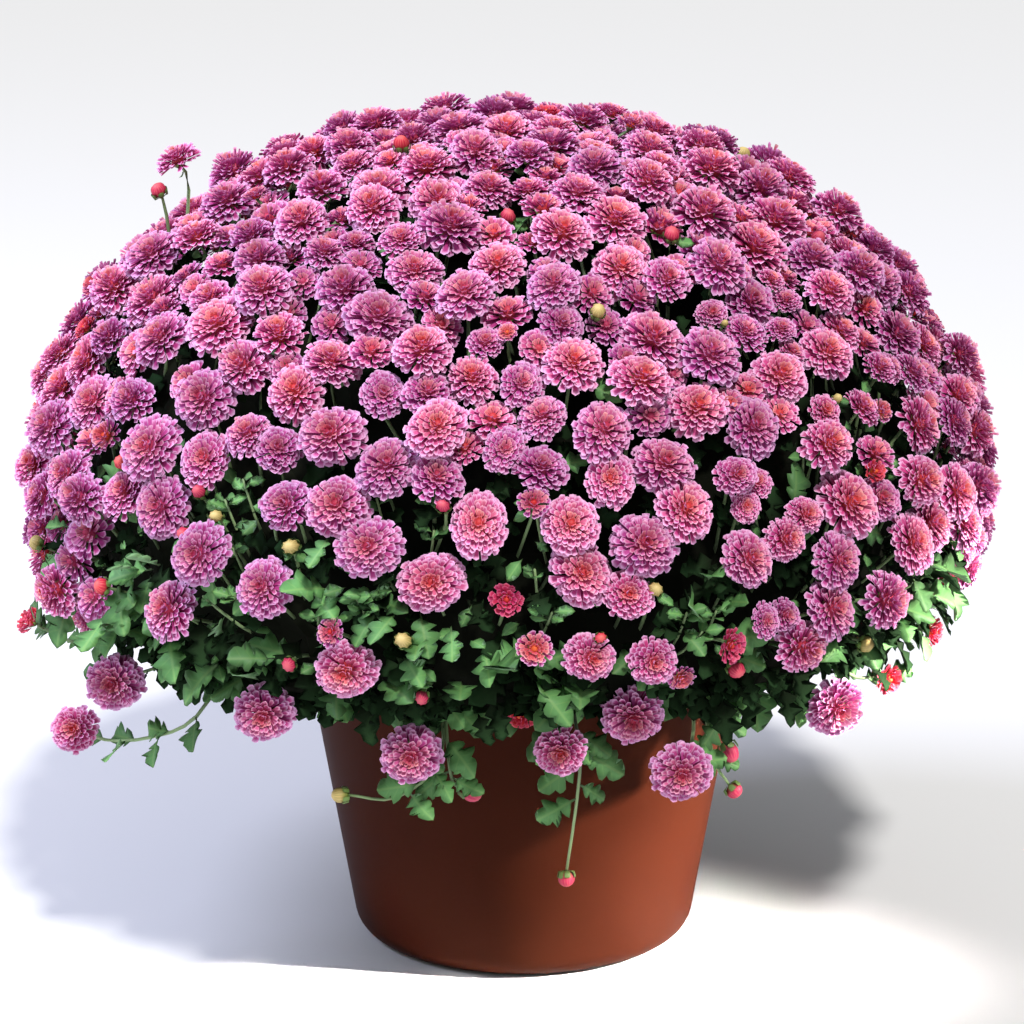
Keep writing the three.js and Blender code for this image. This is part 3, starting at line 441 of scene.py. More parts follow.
def loosen(bloom, draw):
    across = bun_normal(bloom.direction).cross(rimwise(bloom.degrees))
    shift, climb, growth, lean = draw() - 0.5, draw() - 0.5, draw(), draw()
    if not bloom.listed:
        bloom.centre += rimwise(bloom.degrees) * (PUSH * shift) + across * (PUSH * climb)
        bloom.radius *= between(0.92, 1.10, growth)
    lean_to_sun(bloom, between(0.1, 0.45, lean))


loosening = seeded_random(41)
for bloom in dome_blooms:
    loosen(bloom, loosening)
print("mean radius on the dome:", round(sum(b.radius for b in dome_blooms) / len(dome_blooms), 1))

# %% [markdown]
# ## Late blooms between the first ones
# Real bunches leave few bare cracks: late blooms push up between the first ones and stay a little
# lower. Most of them follow a second, finer lattice, and one is taken where it lies in a crack,
# which means not too near the middle of any bloom that is already there. A lattice can't know
# which cracks show most, so those of the front are listed and filled first, and may stand closer.

# %% Fill the front's cracks from a list
TUCKED_RADIUS = (13.5, 17.0)
LATE_NEARNESS = 0.50
LATE_OVERLAP = 2
LATE_SINK = -5
LATE_SUN_LEAN = 0.25
LATE_BLOOMS = [
    (43, 408), (-38, 384), (-8, 387), (4, 393), (28, 364), (32, 468), (-50, 354), (8, 468),
    (48, 378), (12, 386), (50, 405), (-3, 459), (36, 456), (30, 376), (48, 352), (42, 442),
    (47, 468), (54, 447), (60, 420), (-34, 456), (40, 471), (32, 306), (-10, 432), (-28, 396),
    (2, 438), (-30, 504), (6, 532), (58, 416),
]


def tuck_in(bloom, standing, nearness, overlap):
    """Adds a late bloom to those standing if it has room enough."""
    if all((bloom.centre - other.centre).length
           > nearness * (bloom.radius + other.radius) - overlap for other in standing):
        lean_to_sun(bloom, LATE_SUN_LEAN)
        standing.append(bloom)


KINDS["tucked"] = TUCKED_RADIUS
standing = list(blooms)
draw = seeded_random(37)
for degrees, height in LATE_BLOOMS:
    bloom = make_bloom(
        degrees, height, "medium", LATE_SINK, FULL_TURN * draw(), 0.3, 1.0, draw())
    tuck_in(bloom, standing, LATE_NEARNESS, LATE_OVERLAP)
print("late blooms placed by hand:", len(standing) - len(blooms))

# %% [markdown]
# The lattice fills the rest. Low down at the front it leaves the cracks open, so that the leafy
# skirt shows; higher up and round the left flank it fills nearly all of them.

# %% Fill the other cracks by a finer lattice
TUCKED_PLACES = 1700
TUCKED_LOWEST = 262.0
TUCKED_NEARNESS = 0.60
TUCKED_SINK = (-11, -4)
LEFT_FLANK = (-88, -57)
FLANK_CHANCE = 0.7
LEFT_CLEARING = 395
RIGHT_CLEARING = 375
CLEARING_FADE = 70


def crack_chance(degrees, height):
    if within(degrees, LEFT_FLANK):
        return FLANK_CHANCE
    if not within(degrees, FRONT_ARC):
        return 1 - bareness(degrees, height)
    clearing = LEFT_CLEARING if degrees < THIN_SHOULDER[1] else RIGHT_CLEARING
    return (height - clearing) / CLEARING_FADE


table = area_table(TUCKED_LOWEST, lambda height: 1.0)
draw = seeded_random(31)
for i in range(TUCKED_PLACES):
    shift, luck, share, sink, tilt, turn = several(draw, 6)
    height = height_at(table, (i + 0.5) / TUCKED_PLACES)
    degrees = (i * GOLDEN_ANGLE + 360 * shift / 40 + 180) % 360 - 180
    if luck <= crack_chance(degrees, height):
        bloom = make_bloom(degrees, height, "tucked", between(*TUCKED_SINK, sink),
                           tilt * FULL_TURN, 0.35, share, turn)
        tuck_in(bloom, standing, TUCKED_NEARNESS, 0)
tucked_blooms = standing[len(blooms):]
for bloom in tucked_blooms:
    if bloom.height < WAIST:
        within_branch(bloom)
    else:
        bunches[nearest_middle(bloom, bunch_middles)].append(bloom)
print("tucked blooms:", len(tucked_blooms))

# %% [markdown]
# ## Trailing sprays
# Loose stems run out of the skirt and hang over the pot. Each is a few given points joined by one
# smooth curve; a bloom or a bud ends it. The points are those of the solids.

# %% The points of each spray
SPRAYS = [
    dict(branch=0, points=[(-50, -222, 250), (-58, -247, 226), (-66, -252, 206)],
         bloom="full", face=(-0.1, -1, 0.1)),
    dict(branch=0,
         points=[(-52, -225, 244), (-50, -248, 200), (-78, -243, 172), (-109, -232, 170)],
         bud=5.0),
    dict(branch=0, points=[(-48, -225, 242), (-46, -248, 204), (-43, -249, 184), (-36, -245, 179)],
         bud=6.0),
    dict(branch=0, points=[(22, -226, 246), (24, -247, 226), (24, -252, 210)],
         bloom="medium", face=(-0.1, -1, 0)),
    dict(branch=0, points=[(26, -226, 244), (34, -248, 205), (33, -232, 168), (27, -200, 108)],
         bud=5.5),
    dict(branch=0, points=[(8, -228, 248), (4, -246, 234)],
         bloom="young", face=(-0.4, -0.8, -0.3)),
    dict(branch=0, points=[(64, -222, 250), (66, -244, 232)], bloom="full", face=(0, -1, -0.1)),
    dict(branch=1, points=[(101, -202, 252), (104, -238, 214), (96, -243, 192)],
         bloom="full", face=(0, -1, 0.1)),
    dict(branch=1, points=[(106, -202, 248), (116, -232, 196), (127, -226, 174)], bud=5.5),
    dict(branch=1, points=[(112, -200, 250), (122, -224, 218), (125, -226, 200)], bud=6.0),
    dict(branch=1, points=[(158, -165, 252), (178, -178, 226), (190, -172, 212)],
         bloom="full", face=(0.3, -1, 0)),
    dict(branch=1, points=[(176, -140, 254), (205, -146, 222), (224, -132, 215)],
         bloom="young", face=(0.6, -0.8, 0.1)),
    dict(branch=2, points=[(214, -76, 256), (240, -86, 236), (254, -82, 232)],
         bloom="young", face=(0.8, -0.5, 0)),
    dict(branch=7, points=[(-136, -196, 256), (-150, -226, 240), (-156, -226, 226)],
         bloom="full", face=(-0.1, -1, 0)),
    dict(branch=7, points=[(-172, -160, 250), (-206, -168, 200), (-240, -138, 176),
                           (-270, -112, 166), (-286, -102, 170)],
         bloom="medium", face=(-0.2, -0.9, 0.3)),
    dict(branch=7, points=[(-178, -152, 254), (-224, -128, 224), (-252, -114, 210),
                           (-256, -130, 212)],
         bloom="full", face=(-0.2, -1, 0.2)),
    dict(branch=6, points=[(-236, -72, 256), (-282, -84, 224), (-312, -70, 228)],
         bloom="young", face=(-0.8, -0.3, 0.5)),
]
print("sprays:", len(SPRAYS))

# %% [markdown]
# A bloom that ends a spray sits with its foot just past the last point. Between the points runs a
# Catmull-Rom curve, because that passes through every point that we choose.

# %% The blooms at the ends, and a smooth curve through points
FOOT_SHARE = 0.62
FOOT_DEPTH = 6
SEAT_GAP = 0.3


def spray_bloom(spray):
    normal = Vector(spray["face"]).normalized()
    radius = between(*KINDS[spray["bloom"]], 0.5)
    centre = Vector(spray["points"][-1]) + normal * (FOOT_DEPTH + FOOT_SHARE * radius + SEAT_GAP)
    return SimpleNamespace(
        centre=centre, normal=normal, radius=radius, kind=spray["bloom"], turn=0.3,
        degrees=math.degrees(math.atan2(centre.x, -centre.y)), single=True, height=centre.z)


def smooth_path(points, steps):
    """Catmull-Rom through the points, with some steps between each two."""
    points = [Vector(point) for point in points]
    padded = [points[0] * 2 - points[1], *points, points[-1] * 2 - points[-2]]
    path = []
    for a, b, c, d in zip(padded, padded[1:], padded[2:], padded[3:]):
        for k in range(steps):
            t = k / steps
            path.append(0.5 * (2 * b + (c - a) * t + (2 * a - 5 * b + 4 * c - d) * t**2
                               + (3 * b - a - 3 * c + d) * t**3))
    return [*path, points[-1]]


spray_blooms = [spray_bloom(spray) for spray in SPRAYS if "bloom" in spray]
print("sprays that end in a bloom:", len(spray_blooms))

# %% [markdown]
# ## One colour sheet for every petal and leaf
# There are tens of thousands of petals, so no petal can have a paint job of its own. Instead the
# whole plant shares one colour sheet, like a painter's palette. Each row is a kind of surface,
# such as the tip of an outer petal, and each column a shade of it. A face only says where on the
# sheet it lies; in its square, "across" runs from edge to edge and "along" from foot to tip.

# %% The colour sheet's rows and columns
SHEET_MAP = "OFBake"
SHADES = 8
SHEET_ROWS = [
    "outer petal", "middle petal", "inner petal", "crown petal", "heart petal", "petal back",
    "young petal", "young back", "golden eye", "coral bud", "cream bud", "calyx", "stem", "leaf",
    "leaf back", "deep leaf",
]
SQUARE_INSET = 0.06


def sheet_place(row, shade, across, along):
    inner = 1 - 2 * SQUARE_INSET
    column = min(SHADES - 1, max(0, int(shade)))
    return (
        (column + SQUARE_INSET + inner * across) / SHADES,
        (SHEET_ROWS.index(row) + SQUARE_INSET + inner * along) / len(SHEET_ROWS),
    )


print("squares on the sheet:", SHADES * len(SHEET_ROWS))

# %% [markdown]
# Painting a shape means three things for each face: its corners get their place on the sheet, it
# gets one of the three plant finishes, and it is shaded smooth or flat.

# %% Paint faces from the sheet
PETALS = 0
GREENS = 1
SHADED = 2


def paint(bm, faces, row, shade, finish, measure, smooth=True):
    """measure turns a point into its (across, along) on the petal or leaf."""
    sheet = bm.loops.layers.uv.verify()
    for face in faces:
        face.smooth = smooth
        face.material_index = finish
        for loop in face.loops:
            loop[sheet].uv = sheet_place(row, shade, *measure(loop.vert.co))


def new_bmesh():
    bm = bmesh.new()
    bm.loops.layers.uv.new(SHEET_MAP)
    return bm


def mesh_from(bm, name):
    mesh = bpy.data.meshes.new(name)
    bm.to_mesh(mesh)
    bm.free()
    return mesh


def try_out(title, build, *values):
    """Builds one thing on its own and tells how many faces it has."""
    trial = new_bmesh()
    build(trial, *values)
    print(f"faces in {title}:", len(trial.faces))
    trial.free()


def faces_of(verts):
    found = {face for vert in verts for face in vert.link_faces}
    return sorted(found, key=lambda face: face.index)


print("middle of the leaf row:", [round(v, 3) for v in sheet_place("leaf", 3, 0.5, 0.5)])

# %% [markdown]
# ## A petal
# A chrysanthemum petal is a narrow spoon: a thin foot that widens to a short, slightly cupped
# tip. Thousands of them show, so each may have only a handful of faces. A sphere with four sides
# and two bands has eight. We read its poles as foot and tip, its two side points as the petal's
# edges, and its upper and lower points as the crease and the back; moving those six points makes
# a closed thin spoon. A third band rounds the tip, for the outermost petals, which show most.
# The edges are marked sharp, so that light turns crisply at the rim.

# %% Shape one petal from a coarse sphere
PETAL_ALONG = {-2: 0.0, -1: 0.52, 0: 0.93, 1: 0.94, 2: 1.0}
PETAL_WIDTH = {-2: 0.0, -1: 0.82, 0: 1.0, 1: 0.92, 2: 0.0}
PETAL_THICKNESS = 0.16


def side_of(co):
    """1 at a petal's right edge, -1 at its left edge and 0 along its middle."""
    return (co.x > 0.1) - (co.x < -0.1)


def petal_place(co):
    return 0.5 + 0.5 * side_of(co), PETAL_ALONG[round(co.z * 2)]


def add_petal(bm, azimuth, foot, tip, half_width, bends, rows, shade, bands=2, finish=PETALS):
    """bends: how far the petal arches, cups across, rolls to one side and curls at its tip."""
    arch, cup, roll, curl = bends
    verts = bmesh.ops.create_uvsphere(bm, u_segments=4, v_segments=bands, radius=1.0)["verts"]
    faces = faces_of(verts)
    back = [face for face in faces if face.calc_center_median().y < 0]
    front = [face for face in faces if face.calc_center_median().y >= 0]
    paint(bm, front, rows[0], shade, finish, petal_place)
    paint(bm, back, rows[1], shade, finish, petal_place)
    along = tip - foot
    upward = Vector((-along.y, along.x)).normalized()
    turn = Matrix.Rotation(azimuth, 3, "Z")
    thickness = half_width * PETAL_THICKNESS
    for vert in verts:
        step = round(vert.co.z * 2)
        share = PETAL_ALONG[step]
        across = PETAL_WIDTH[step] * half_width * side_of(vert.co)
        rise = (arch * 4 * share * (1 - share) + curl * share**3) * along.length
        rise += cup * abs(across) + roll * across
        if abs(step) < 2 and side_of(vert.co) == 0 and vert.co.y < 0:
            rise -= thickness * 2
        spot = foot + along * share + upward * rise
        vert.co = turn @ Vector((spot.x, across, spot.y))
    for edge in {edge for face in front for edge in face.edges}:
        edge.smooth = all(face in front for face in edge.link_faces)


try_out("a petal", add_petal, 0, Vector((0.3, 0)), Vector((1, 0)), 0.12, (0, 0, 0, 0),
        ("calyx", "calyx"), 0)

# %% [markdown]
# ## Blooms
# A double bloom is rings of petals stepping up a dome, each ring shorter and steeper than the
# one outside it, down to a tight coral heart. Rings are given in shares of the bloom's radius:
# how many petals, where their feet and tips are as (outwards, up), how wide, how arched and how
# cupped, and which row of the sheet they lie on. A late bloom is half hidden, so it has fewer.

# %% Rings of each kind of bloom
OPEN_RINGS = [
    (24, (0.32, -0.18), (0.98, -0.30), 0.124, 0.18, 0.30, "outer petal"),
    (25, (0.31, -0.10), (0.98, -0.12), 0.116, 0.20, 0.36, "outer petal"),
    (26, (0.29, -0.02), (0.90, 0.08), 0.100, 0.16, 0.42, "middle petal"),
    (25, (0.26, 0.06), (0.79, 0.24), 0.090, 0.12, 0.46, "middle petal"),
    (22, (0.22, 0.12), (0.65, 0.37), 0.083, 0.09, 0.48, "inner petal"),
    (18, (0.17, 0.17), (0.49, 0.45), 0.077, 0.06, 0.50, "inner petal"),
    (13, (0.11, 0.20), (0.32, 0.49), 0.072, 0.03, 0.50, "crown petal"),
    (8, (0.05, 0.22), (0.15, 0.48), 0.066, 0.00, 0.45, "heart petal"),
]
CUPPED_RINGS = [
    (23, (0.32, -0.14), (1.00, -0.14), 0.130, 0.14, 0.34, "outer petal"),
    (23, (0.29, -0.05), (0.92, 0.06), 0.120, 0.13, 0.40, "outer petal"),
    (22, (0.26, 0.03), (0.80, 0.22), 0.106, 0.10, 0.44, "middle petal"),
    (21, (0.21, 0.09), (0.65, 0.34), 0.092, 0.07, 0.48, "middle petal"),
    (16, (0.15, 0.13), (0.48, 0.41), 0.088, 0.04, 0.50, "inner petal"),
    (11, (0.09, 0.16), (0.31, 0.44), 0.082, 0.00, 0.50, "crown petal"),
    (7, (0.04, 0.18), (0.14, 0.43), 0.074, -0.04, 0.50, "heart petal"),
]
TUCKED_RINGS = [
    (19, (0.32, -0.14), (1.00, -0.16), 0.146, 0.14, 0.34, "outer petal"),
    (18, (0.28, -0.01), (0.86, 0.12), 0.130, 0.12, 0.42, "middle petal"),
    (16, (0.22, 0.09), (0.64, 0.32), 0.110, 0.08, 0.45, "inner petal"),
    (11, (0.10, 0.14), (0.36, 0.42), 0.098, 0.02, 0.50, "crown petal"),
]
YOUNG_RINGS = [
    (20, (0.34, -0.14), (1.00, 0.06), 0.140, 0.06, 0.45, "outer petal"),
    (16, (0.28, -0.02), (0.80, 0.30), 0.136, 0.00, 0.50, "crown petal"),
    (12, (0.20, 0.06), (0.56, 0.42), 0.126, -0.06, 0.55, "heart petal"),
    (8, (0.10, 0.10), (0.32, 0.44), 0.108, -0.08, 0.55, "heart petal"),
]
CORAL_RINGS = [
    (15, (0.36, -0.22), (1.00, 0.16), 0.19, 0.02, 0.50, "young petal"),
    (13, (0.28, -0.10), (0.80, 0.36), 0.18, -0.04, 0.55, "young petal"),
    (10, (0.20, 0.00), (0.56, 0.46), 0.16, -0.08, 0.60, "young petal"),
    (7, (0.10, 0.05), (0.32, 0.46), 0.13, -0.10, 0.60, "young petal"),
]
for title, rings in (("open", OPEN_RINGS), ("cupped", CUPPED_RINGS), ("tucked", TUCKED_RINGS),
                     ("young", YOUNG_RINGS), ("coral", CORAL_RINGS)):
    print(title, "bloom:", sum(ring[0] for ring in rings), "petals in", len(rings), "rings")

# %% [markdown]
# Two small cones close a bloom. The receptacle is its heart, which stops the eye from looking
# through between the petals, and the calyx is the green cup below, narrow at the stem.

# %% The receptacle and the calyx
CONE_SIDES = 7


def add_cone(bm, low_radius, high_radius, depth, middle, row, shade, finish, measure):
    made = bmesh.ops.create_cone(
        bm, segments=CONE_SIDES, cap_ends=True, cap_tris=True, radius1=low_radius,
        radius2=high_radius, depth=depth, matrix=Matrix.Translation((0, 0, middle)))
    paint(bm, faces_of(made["verts"]), row, shade, finish, measure)


def add_receptacle(bm, top, row, shade):
    add_cone(bm, 0.34, 0.10, top + 0.12, (top - 0.12) / 2, row, shade, PETALS,
             lambda co: (0.5, 0.12))


def add_calyx(bm, shade):
    add_cone(bm, 0.10, 0.38, 0.30, -0.27, "calyx", shade, GREENS,
             lambda co: (0.5, min(1.0, max(0.0, 0.5 + co.z))))


try_out("a calyx", add_calyx, 0)

# %% [markdown]
# We make a handful of different blooms once and copy them, because that is how a plant looks:
# alike but never the same. Every petal gets its own small wobble in turn, reach, width and curl.

# %% Make the stock of blooms
CROWN_SHARE = 0.72


def bloom_mesh(name, seed, rings, shade, back_row, heart_row, outer_bands):
    draw = seeded_random(seed)
    bm = new_bmesh()

    def wobble(reach):
        return (draw() - 0.5) * reach

    for ring in rings:
        count, foot, tip, half_width, arch, cup, row = ring
        bands = outer_bands if ring is rings[0] else 2
        start = draw() * FULL_TURN
        for k in range(count):
            azimuth = start + (k + wobble(0.7)) * FULL_TURN / count
            end = Vector(tip) * (1 + wobble(0.15)) + Vector((0.0, wobble(0.17)))
            bends = (arch, cup, wobble(0.7), 0.05 + wobble(0.34))
            width = half_width * (1 + wobble(0.24))
            add_petal(bm, azimuth, Vector(foot), end, width, bends, (row, back_row),
                      shade + wobble(4.4), bands)
    add_receptacle(bm, rings[-1][2][1] * CROWN_SHARE, heart_row, shade)
    add_calyx(bm, shade)
    return mesh_from(bm, name)


def bloom_family(name, count, seed, rings, back_row, heart_row, outer_bands=2):
    return [
        bloom_mesh(f"{name}_{i}", seed + i, rings, SHADES * (i + 0.5) / count, back_row,
                   heart_row, outer_bands)
        for i in range(count)
    ]


bloom_stock = {
    "full": bloom_family("full", 8, 100, OPEN_RINGS, "petal back", "heart petal", 3),
    "medium": bloom_family("medium", 5, 200, CUPPED_RINGS, "petal back", "heart petal"),
    "tucked": bloom_family("tucked", 4, 250, TUCKED_RINGS, "petal back", "heart petal"),
    "young": bloom_family("young", 3, 300, YOUNG_RINGS, "petal back", "golden eye")
    + bloom_family("coral", 2, 310, CORAL_RINGS, "young back", "golden eye"),
}
print("faces in one open bloom:", len(bloom_stock["full"][0].polygons))

# %% [markdown]
# ## Buds
# A bud is a closed ball of folded petals, coral once it colours and cream before that, held in
# a ring of green sepals. The same spoon that makes a petal makes a sepal when it hugs the ball.

# %% Round buds held in sepals
SEPALS = 6
BUD_PETALS = 8
FOLD_DEPTH = 0.09
CREAM_BUD = 3


def folds_at(co):
    """1 on the back of each folded petal of a bud and -1 in the groove between two."""
    return math.cos(BUD_PETALS * math.atan2(co.y, co.x))


def bud_mesh(name, seed, row, shade):
    draw = seeded_random(seed)
    bm = new_bmesh()
    verts = bmesh.ops.create_uvsphere(
        bm, u_segments=2 * BUD_PETALS, v_segments=8, radius=1.0)["verts"]
    # Folds lie across each square, so the painted highlight runs along their backs and grooves.
    paint(bm, faces_of(verts), row, shade, PETALS, lambda co: (
        0.5 + 0.5 * folds_at(co) * (abs(co.z) < 0.99), 0.5 + 0.5 * co.z))
    for vert in verts:
        fold = 1 + FOLD_DEPTH * folds_at(vert.co)
        vert.co = Vector((vert.co.x * fold * 0.9, vert.co.y * fold * 0.9, vert.co.z * 1.02))
    for k in range(SEPALS):
        azimuth = (k + 0.3 * draw()) * FULL_TURN / SEPALS
        tip = Vector((1.02, -0.22 + draw() * 0.2))
        add_petal(bm, azimuth, Vector((0.14, -1.12)), tip, 0.40, (-0.30, 0.10, 0.0, 0.0),
                  ("calyx", "calyx"), shade, bands=3, finish=GREENS)
    return mesh_from(bm, name)


bloom_stock["bud"] = [
    bud_mesh(f"bud_{i}", 400 + i, "cream bud" if i == CREAM_BUD else "coral bud", 1 + i * 1.6)
    for i in range(4)
]
print("faces in one bud:", len(bloom_stock["bud"][0].polygons))

# %% [markdown]
# ## Leaves
# The leaf is the garden mum's own: lobed like an oak's, folded a little along its midrib and
# drooping at the tip. We shape it as we shaped the petal, from a sphere with four sides, but with
# more bands, pulled out into lobes and in at the notches. A grid with a thickness would do too;
# the sphere is closed from the start and its edge is as thin as a leaf's. Leaves deep inside have
# fewer bands, and the small plain leaflets under the blooms fewer still. Each outline is a list
# of places from foot to tip: how far along, and half the width there.

# %% Shape a leaf from a coarse sphere
LOBED = [
    (0.00, 0.0), (0.06, 0.022), (0.15, 0.030), (0.21, 0.17), (0.29, 0.25), (0.36, 0.22),
    (0.41, 0.12), (0.48, 0.25), (0.56, 0.34), (0.64, 0.31), (0.69, 0.18), (0.77, 0.21),
    (0.86, 0.19), (0.95, 0.11), (1.00, 0.0),
]
DEEP_LOBED = [
    (0.00, 0.0), (0.14, 0.04), (0.30, 0.26), (0.45, 0.12), (0.60, 0.33), (0.74, 0.16),
    (0.90, 0.17), (1.00, 0.0),
]
OVAL = [(0.00, 0.0), (0.18, 0.05), (0.38, 0.22), (0.62, 0.28), (0.84, 0.18), (1.00, 0.0)]
LOBE_SLANT = 0.32
LEAF_THICKNESS = 0.03
LEAF_RIPPLE = 0.06
ON_MIDRIB = 1e-4


def leaf_mesh(name, seed, shade, rows, front_row, back_row, finish):
    draw = seeded_random(seed)
    bm = new_bmesh()
    bands = len(rows) - 1
    verts = bmesh.ops.create_uvsphere(bm, u_segments=4, v_segments=bands, radius=1.0)["verts"]
    upper = {face for face in bm.faces if face.calc_center_median().y > 0}
    droop = 0.08 + draw() * 0.24
    fold = 0.10 + draw() * 0.40
    bend = (draw() - 0.5) * 0.3
    waves = several(draw, len(rows) * 2)
    for vert in verts:
        j = round(math.acos(min(1, max(-1, -vert.co.z))) / math.pi * bands)
        side = (vert.co.x > ON_MIDRIB) - (vert.co.x < -ON_MIDRIB)
        reach, half_width = rows[j]
        half_width *= 0.84 + 0.32 * waves[j * 2 + (side > 0)]
        along = reach + LOBE_SLANT * half_width * (side != 0) * (1 - reach)
        ripple = math.sin(5.5 * reach + 2 * side + waves[0] * 6)
        rise = fold * abs(side) * half_width - droop * reach**2
        rise += LEAF_RIPPLE * ripple * abs(side) * (0 < j < bands)
        if vert.co.y < -ON_MIDRIB and side == 0:
            rise -= LEAF_THICKNESS
        vert.co = Vector((along, side * half_width + bend * reach**2, rise))

    def leaf_place(co):
        reach = min(1.0, max(0.0, co.x))
        return min(1.0, max(0.0, 0.5 + 1.2 * (co.y - bend * co.x**2))), reach

    for face in bm.faces:
        row = front_row if face in upper else back_row
        paint(bm, [face], row, shade, finish, leaf_place)
    bmesh.ops.recalc_face_normals(bm, faces=list(bm.faces))
    return mesh_from(bm, name)


leaf_stock = [
    leaf_mesh(f"leaf_{i}", 500 + i, i % SHADES, LOBED, "leaf", "leaf back", GREENS)
    for i in range(16)
]
# Leaves deep inside take the shaded finish, whose dark green is painted shade.
shaded_leaf_stock = [
    leaf_mesh(f"shaded_leaf_{i}", 540 + i, i, DEEP_LOBED, "deep leaf", "deep leaf", SHADED)
    for i in range(8)
]
leaflet_stock = [
    leaf_mesh(f"leaflet_{i}", 560 + i, i, OVAL, "leaf", "leaf back", GREENS) for i in range(8)
]
print("faces in one leaf:", len(leaf_stock[0].polygons))

# %% [markdown]
# ## Stems
# A stem is a thin tapering tube. We draw a small circle, then extrude its cap from point to
# point along the path. Extruding keeps the tube one closed skin, which separate cylinders
# would not.

# %% Extrude a stem along a path
def add_stem(bm, points, thick, thin, shade, sides=5):
    points = [Vector(point) for point in points]
    tube = new_bmesh()
    circle = bmesh.ops.create_circle(tube, cap_ends=True, segments=sides, radius=1.0)["verts"]
    cap = circle[0].link_faces[0]
    ring = list(circle)
    standing = Matrix.Identity(4)
    for i, point in enumerate(points):
        ahead = points[min(i + 1, len(points) - 1)] - points[max(i - 1, 0)]
        radius = between(thick, thin, i / (len(points) - 1))
        place = Matrix.Translation(point) @ ahead.to_track_quat("Z", "X").to_matrix().to_4x4()
        place = place @ Matrix.Scale(radius, 4)
        if i > 0:
            made = bmesh.ops.extrude_face_region(tube, geom=[cap], use_keep_orig=i == 1)["geom"]
            ring = [item for item in made if isinstance(item, bmesh.types.BMVert)]
            cap = next(item for item in made if isinstance(item, bmesh.types.BMFace))
        bmesh.ops.transform(tube, matrix=place @ standing.inverted(), verts=ring)
        standing = place
    bmesh.ops.recalc_face_normals(tube, faces=list(tube.faces))
    run = points[-1] - points[0]
    # Along is squared, so the painted shade at the foot darkens the stem's lower part.
    paint(tube, tube.faces, "stem", shade, GREENS, lambda co: (
        0.5, min(1.0, max(0.0, (co - points[0]).dot(run) / run.length_squared)) ** 2))
    mesh = mesh_from(tube, "stem")
    bm.from_mesh(mesh)
    bpy.data.meshes.remove(mesh)


try_out("a short stem", add_stem, [(0, 0, 0), (0, 0, 20), (0, 5, 40)], 1.5, 1.0, 0)

# %% [markdown]
# ## Copying stock parts into a piece
# A piece holds many copies of the same few meshes. We turn and move a copy of each mesh and let
# bmesh take it in, so that a whole bunch of blooms becomes one mesh at the origin. Each bloom is
# also stretched a little, or one would soon see the same few again and again.

# %% Set copies of the blooms in place
def standing_on(centre, normal, turn, size):
    facing = normal.to_track_quat("Z", "Y").to_matrix().to_4x4()
    spin = Matrix.Rotation(turn * FULL_TURN, 4, "Z")
    wide, deep = 1 + 0.10 * math.sin(turn * 61), 1 + 0.16 * math.sin(turn * 47)
    uneven = Matrix.Diagonal((size * wide, size / wide, size * deep, 1))
    return Matrix.Translation(centre) @ facing @ spin @ uneven


def add_copy(bm, mesh, matrix):
    copy = mesh.copy()
    copy.transform(matrix)
    bm.from_mesh(copy)
    bpy.data.meshes.remove(copy)


def add_bloom(bm, bloom):
    stock = bloom_stock[bloom.kind]
    choice = stock[int(bloom.turn * 997) % len(stock)]
    add_copy(bm, choice, standing_on(bloom.centre, bloom.normal, bloom.turn, bloom.radius))


print("different meshes in stock:", sum(len(stock) for stock in bloom_stock.values()))

# %% [markdown]
# ## Room for every bloom
# Before anything is built, blooms that would bury each other are drawn in, though a little
# overlap is natural, and the outermost are moved inside the solids' box. A search tree then
# holds all their middles, so that a leaf can ask at once which blooms are near it.

# %% Ease the blooms apart and keep them in the box
CROWDING = 1.28
SWELL = 1.02
SMALLEST = 0.6
CROWN_HEIGHT = 0.55
BUD_SHARE = 0.85


def ease_neighbours(every):
    for bloom in every:
        factor = SWELL
        for other in every:
            if other is bloom or (bloom.kind != "tucked" and other.kind == "tucked"):
                continue
            distance = (other.centre - bloom.centre).length
            factor = min(factor, CROWDING * distance / (bloom.radius + other.radius))
        bloom.drawn = bloom.radius * max(SMALLEST, factor)
        bloom.drawn *= BUD_SHARE if bloom.kind == "bud" else 1
    for bloom in every:
        bloom.radius = bloom.drawn


def keep_in_box(bloom):
    for axis in range(3):
        lean = bloom.normal[axis]
        level = bloom.radius * math.sqrt(max(0.0, 1 - lean**2))
        high = bloom.centre[axis] + level + max(0.0, lean) * CROWN_HEIGHT * bloom.radius
        low = bloom.centre[axis] - level + min(0.0, lean) * CROWN_HEIGHT * bloom.radius
        bloom.centre[axis] -= max(0.0, high - cad_high[axis] / MM)
        bloom.centre[axis] += max(0.0, cad_low[axis] / MM - low)


every_bloom = blooms + tucked_blooms + spray_blooms
ease_neighbours(every_bloom)
for bloom in every_bloom:
    keep_in_box(bloom)
bloom_tree = kdtree.KDTree(len(every_bloom))
for index, bloom in enumerate(every_bloom):
    bloom_tree.insert(bloom.centre, index)
bloom_tree.balance()
print("blooms in all:", len(every_bloom))

# %% [markdown]
# A leaf stands with its foot on a stem, its tip pointing along and its upper side turned to the
# light. One that would cut through the petals of a bloom is left out: we try a few points down
# its middle and at its sides.

# %% Stand a leaf where no bloom is cut
NEIGHBOURS = 6
PETAL_REACH = 1.08
PETAL_SPACE = (-0.34, 2.0)
LEAF_MIDDLE = (0.3, 0.65, 1.0)
LEAF_WIDEST = 0.55
LEAF_SIDES = (-0.3, 0.3)


def cuts_a_bloom(point):
    """Whether a point lies in among some bloom's petals or just above them."""
    for _, index, _ in bloom_tree.find_n(point, NEIGHBOURS):
        bloom = every_bloom[index]
        reach = point - bloom.centre
        height = reach.dot(bloom.normal)
        beside = (reach - bloom.normal * height).length
        if beside < PETAL_REACH * bloom.radius and within(height / bloom.radius, PETAL_SPACE):
            return True
    return False


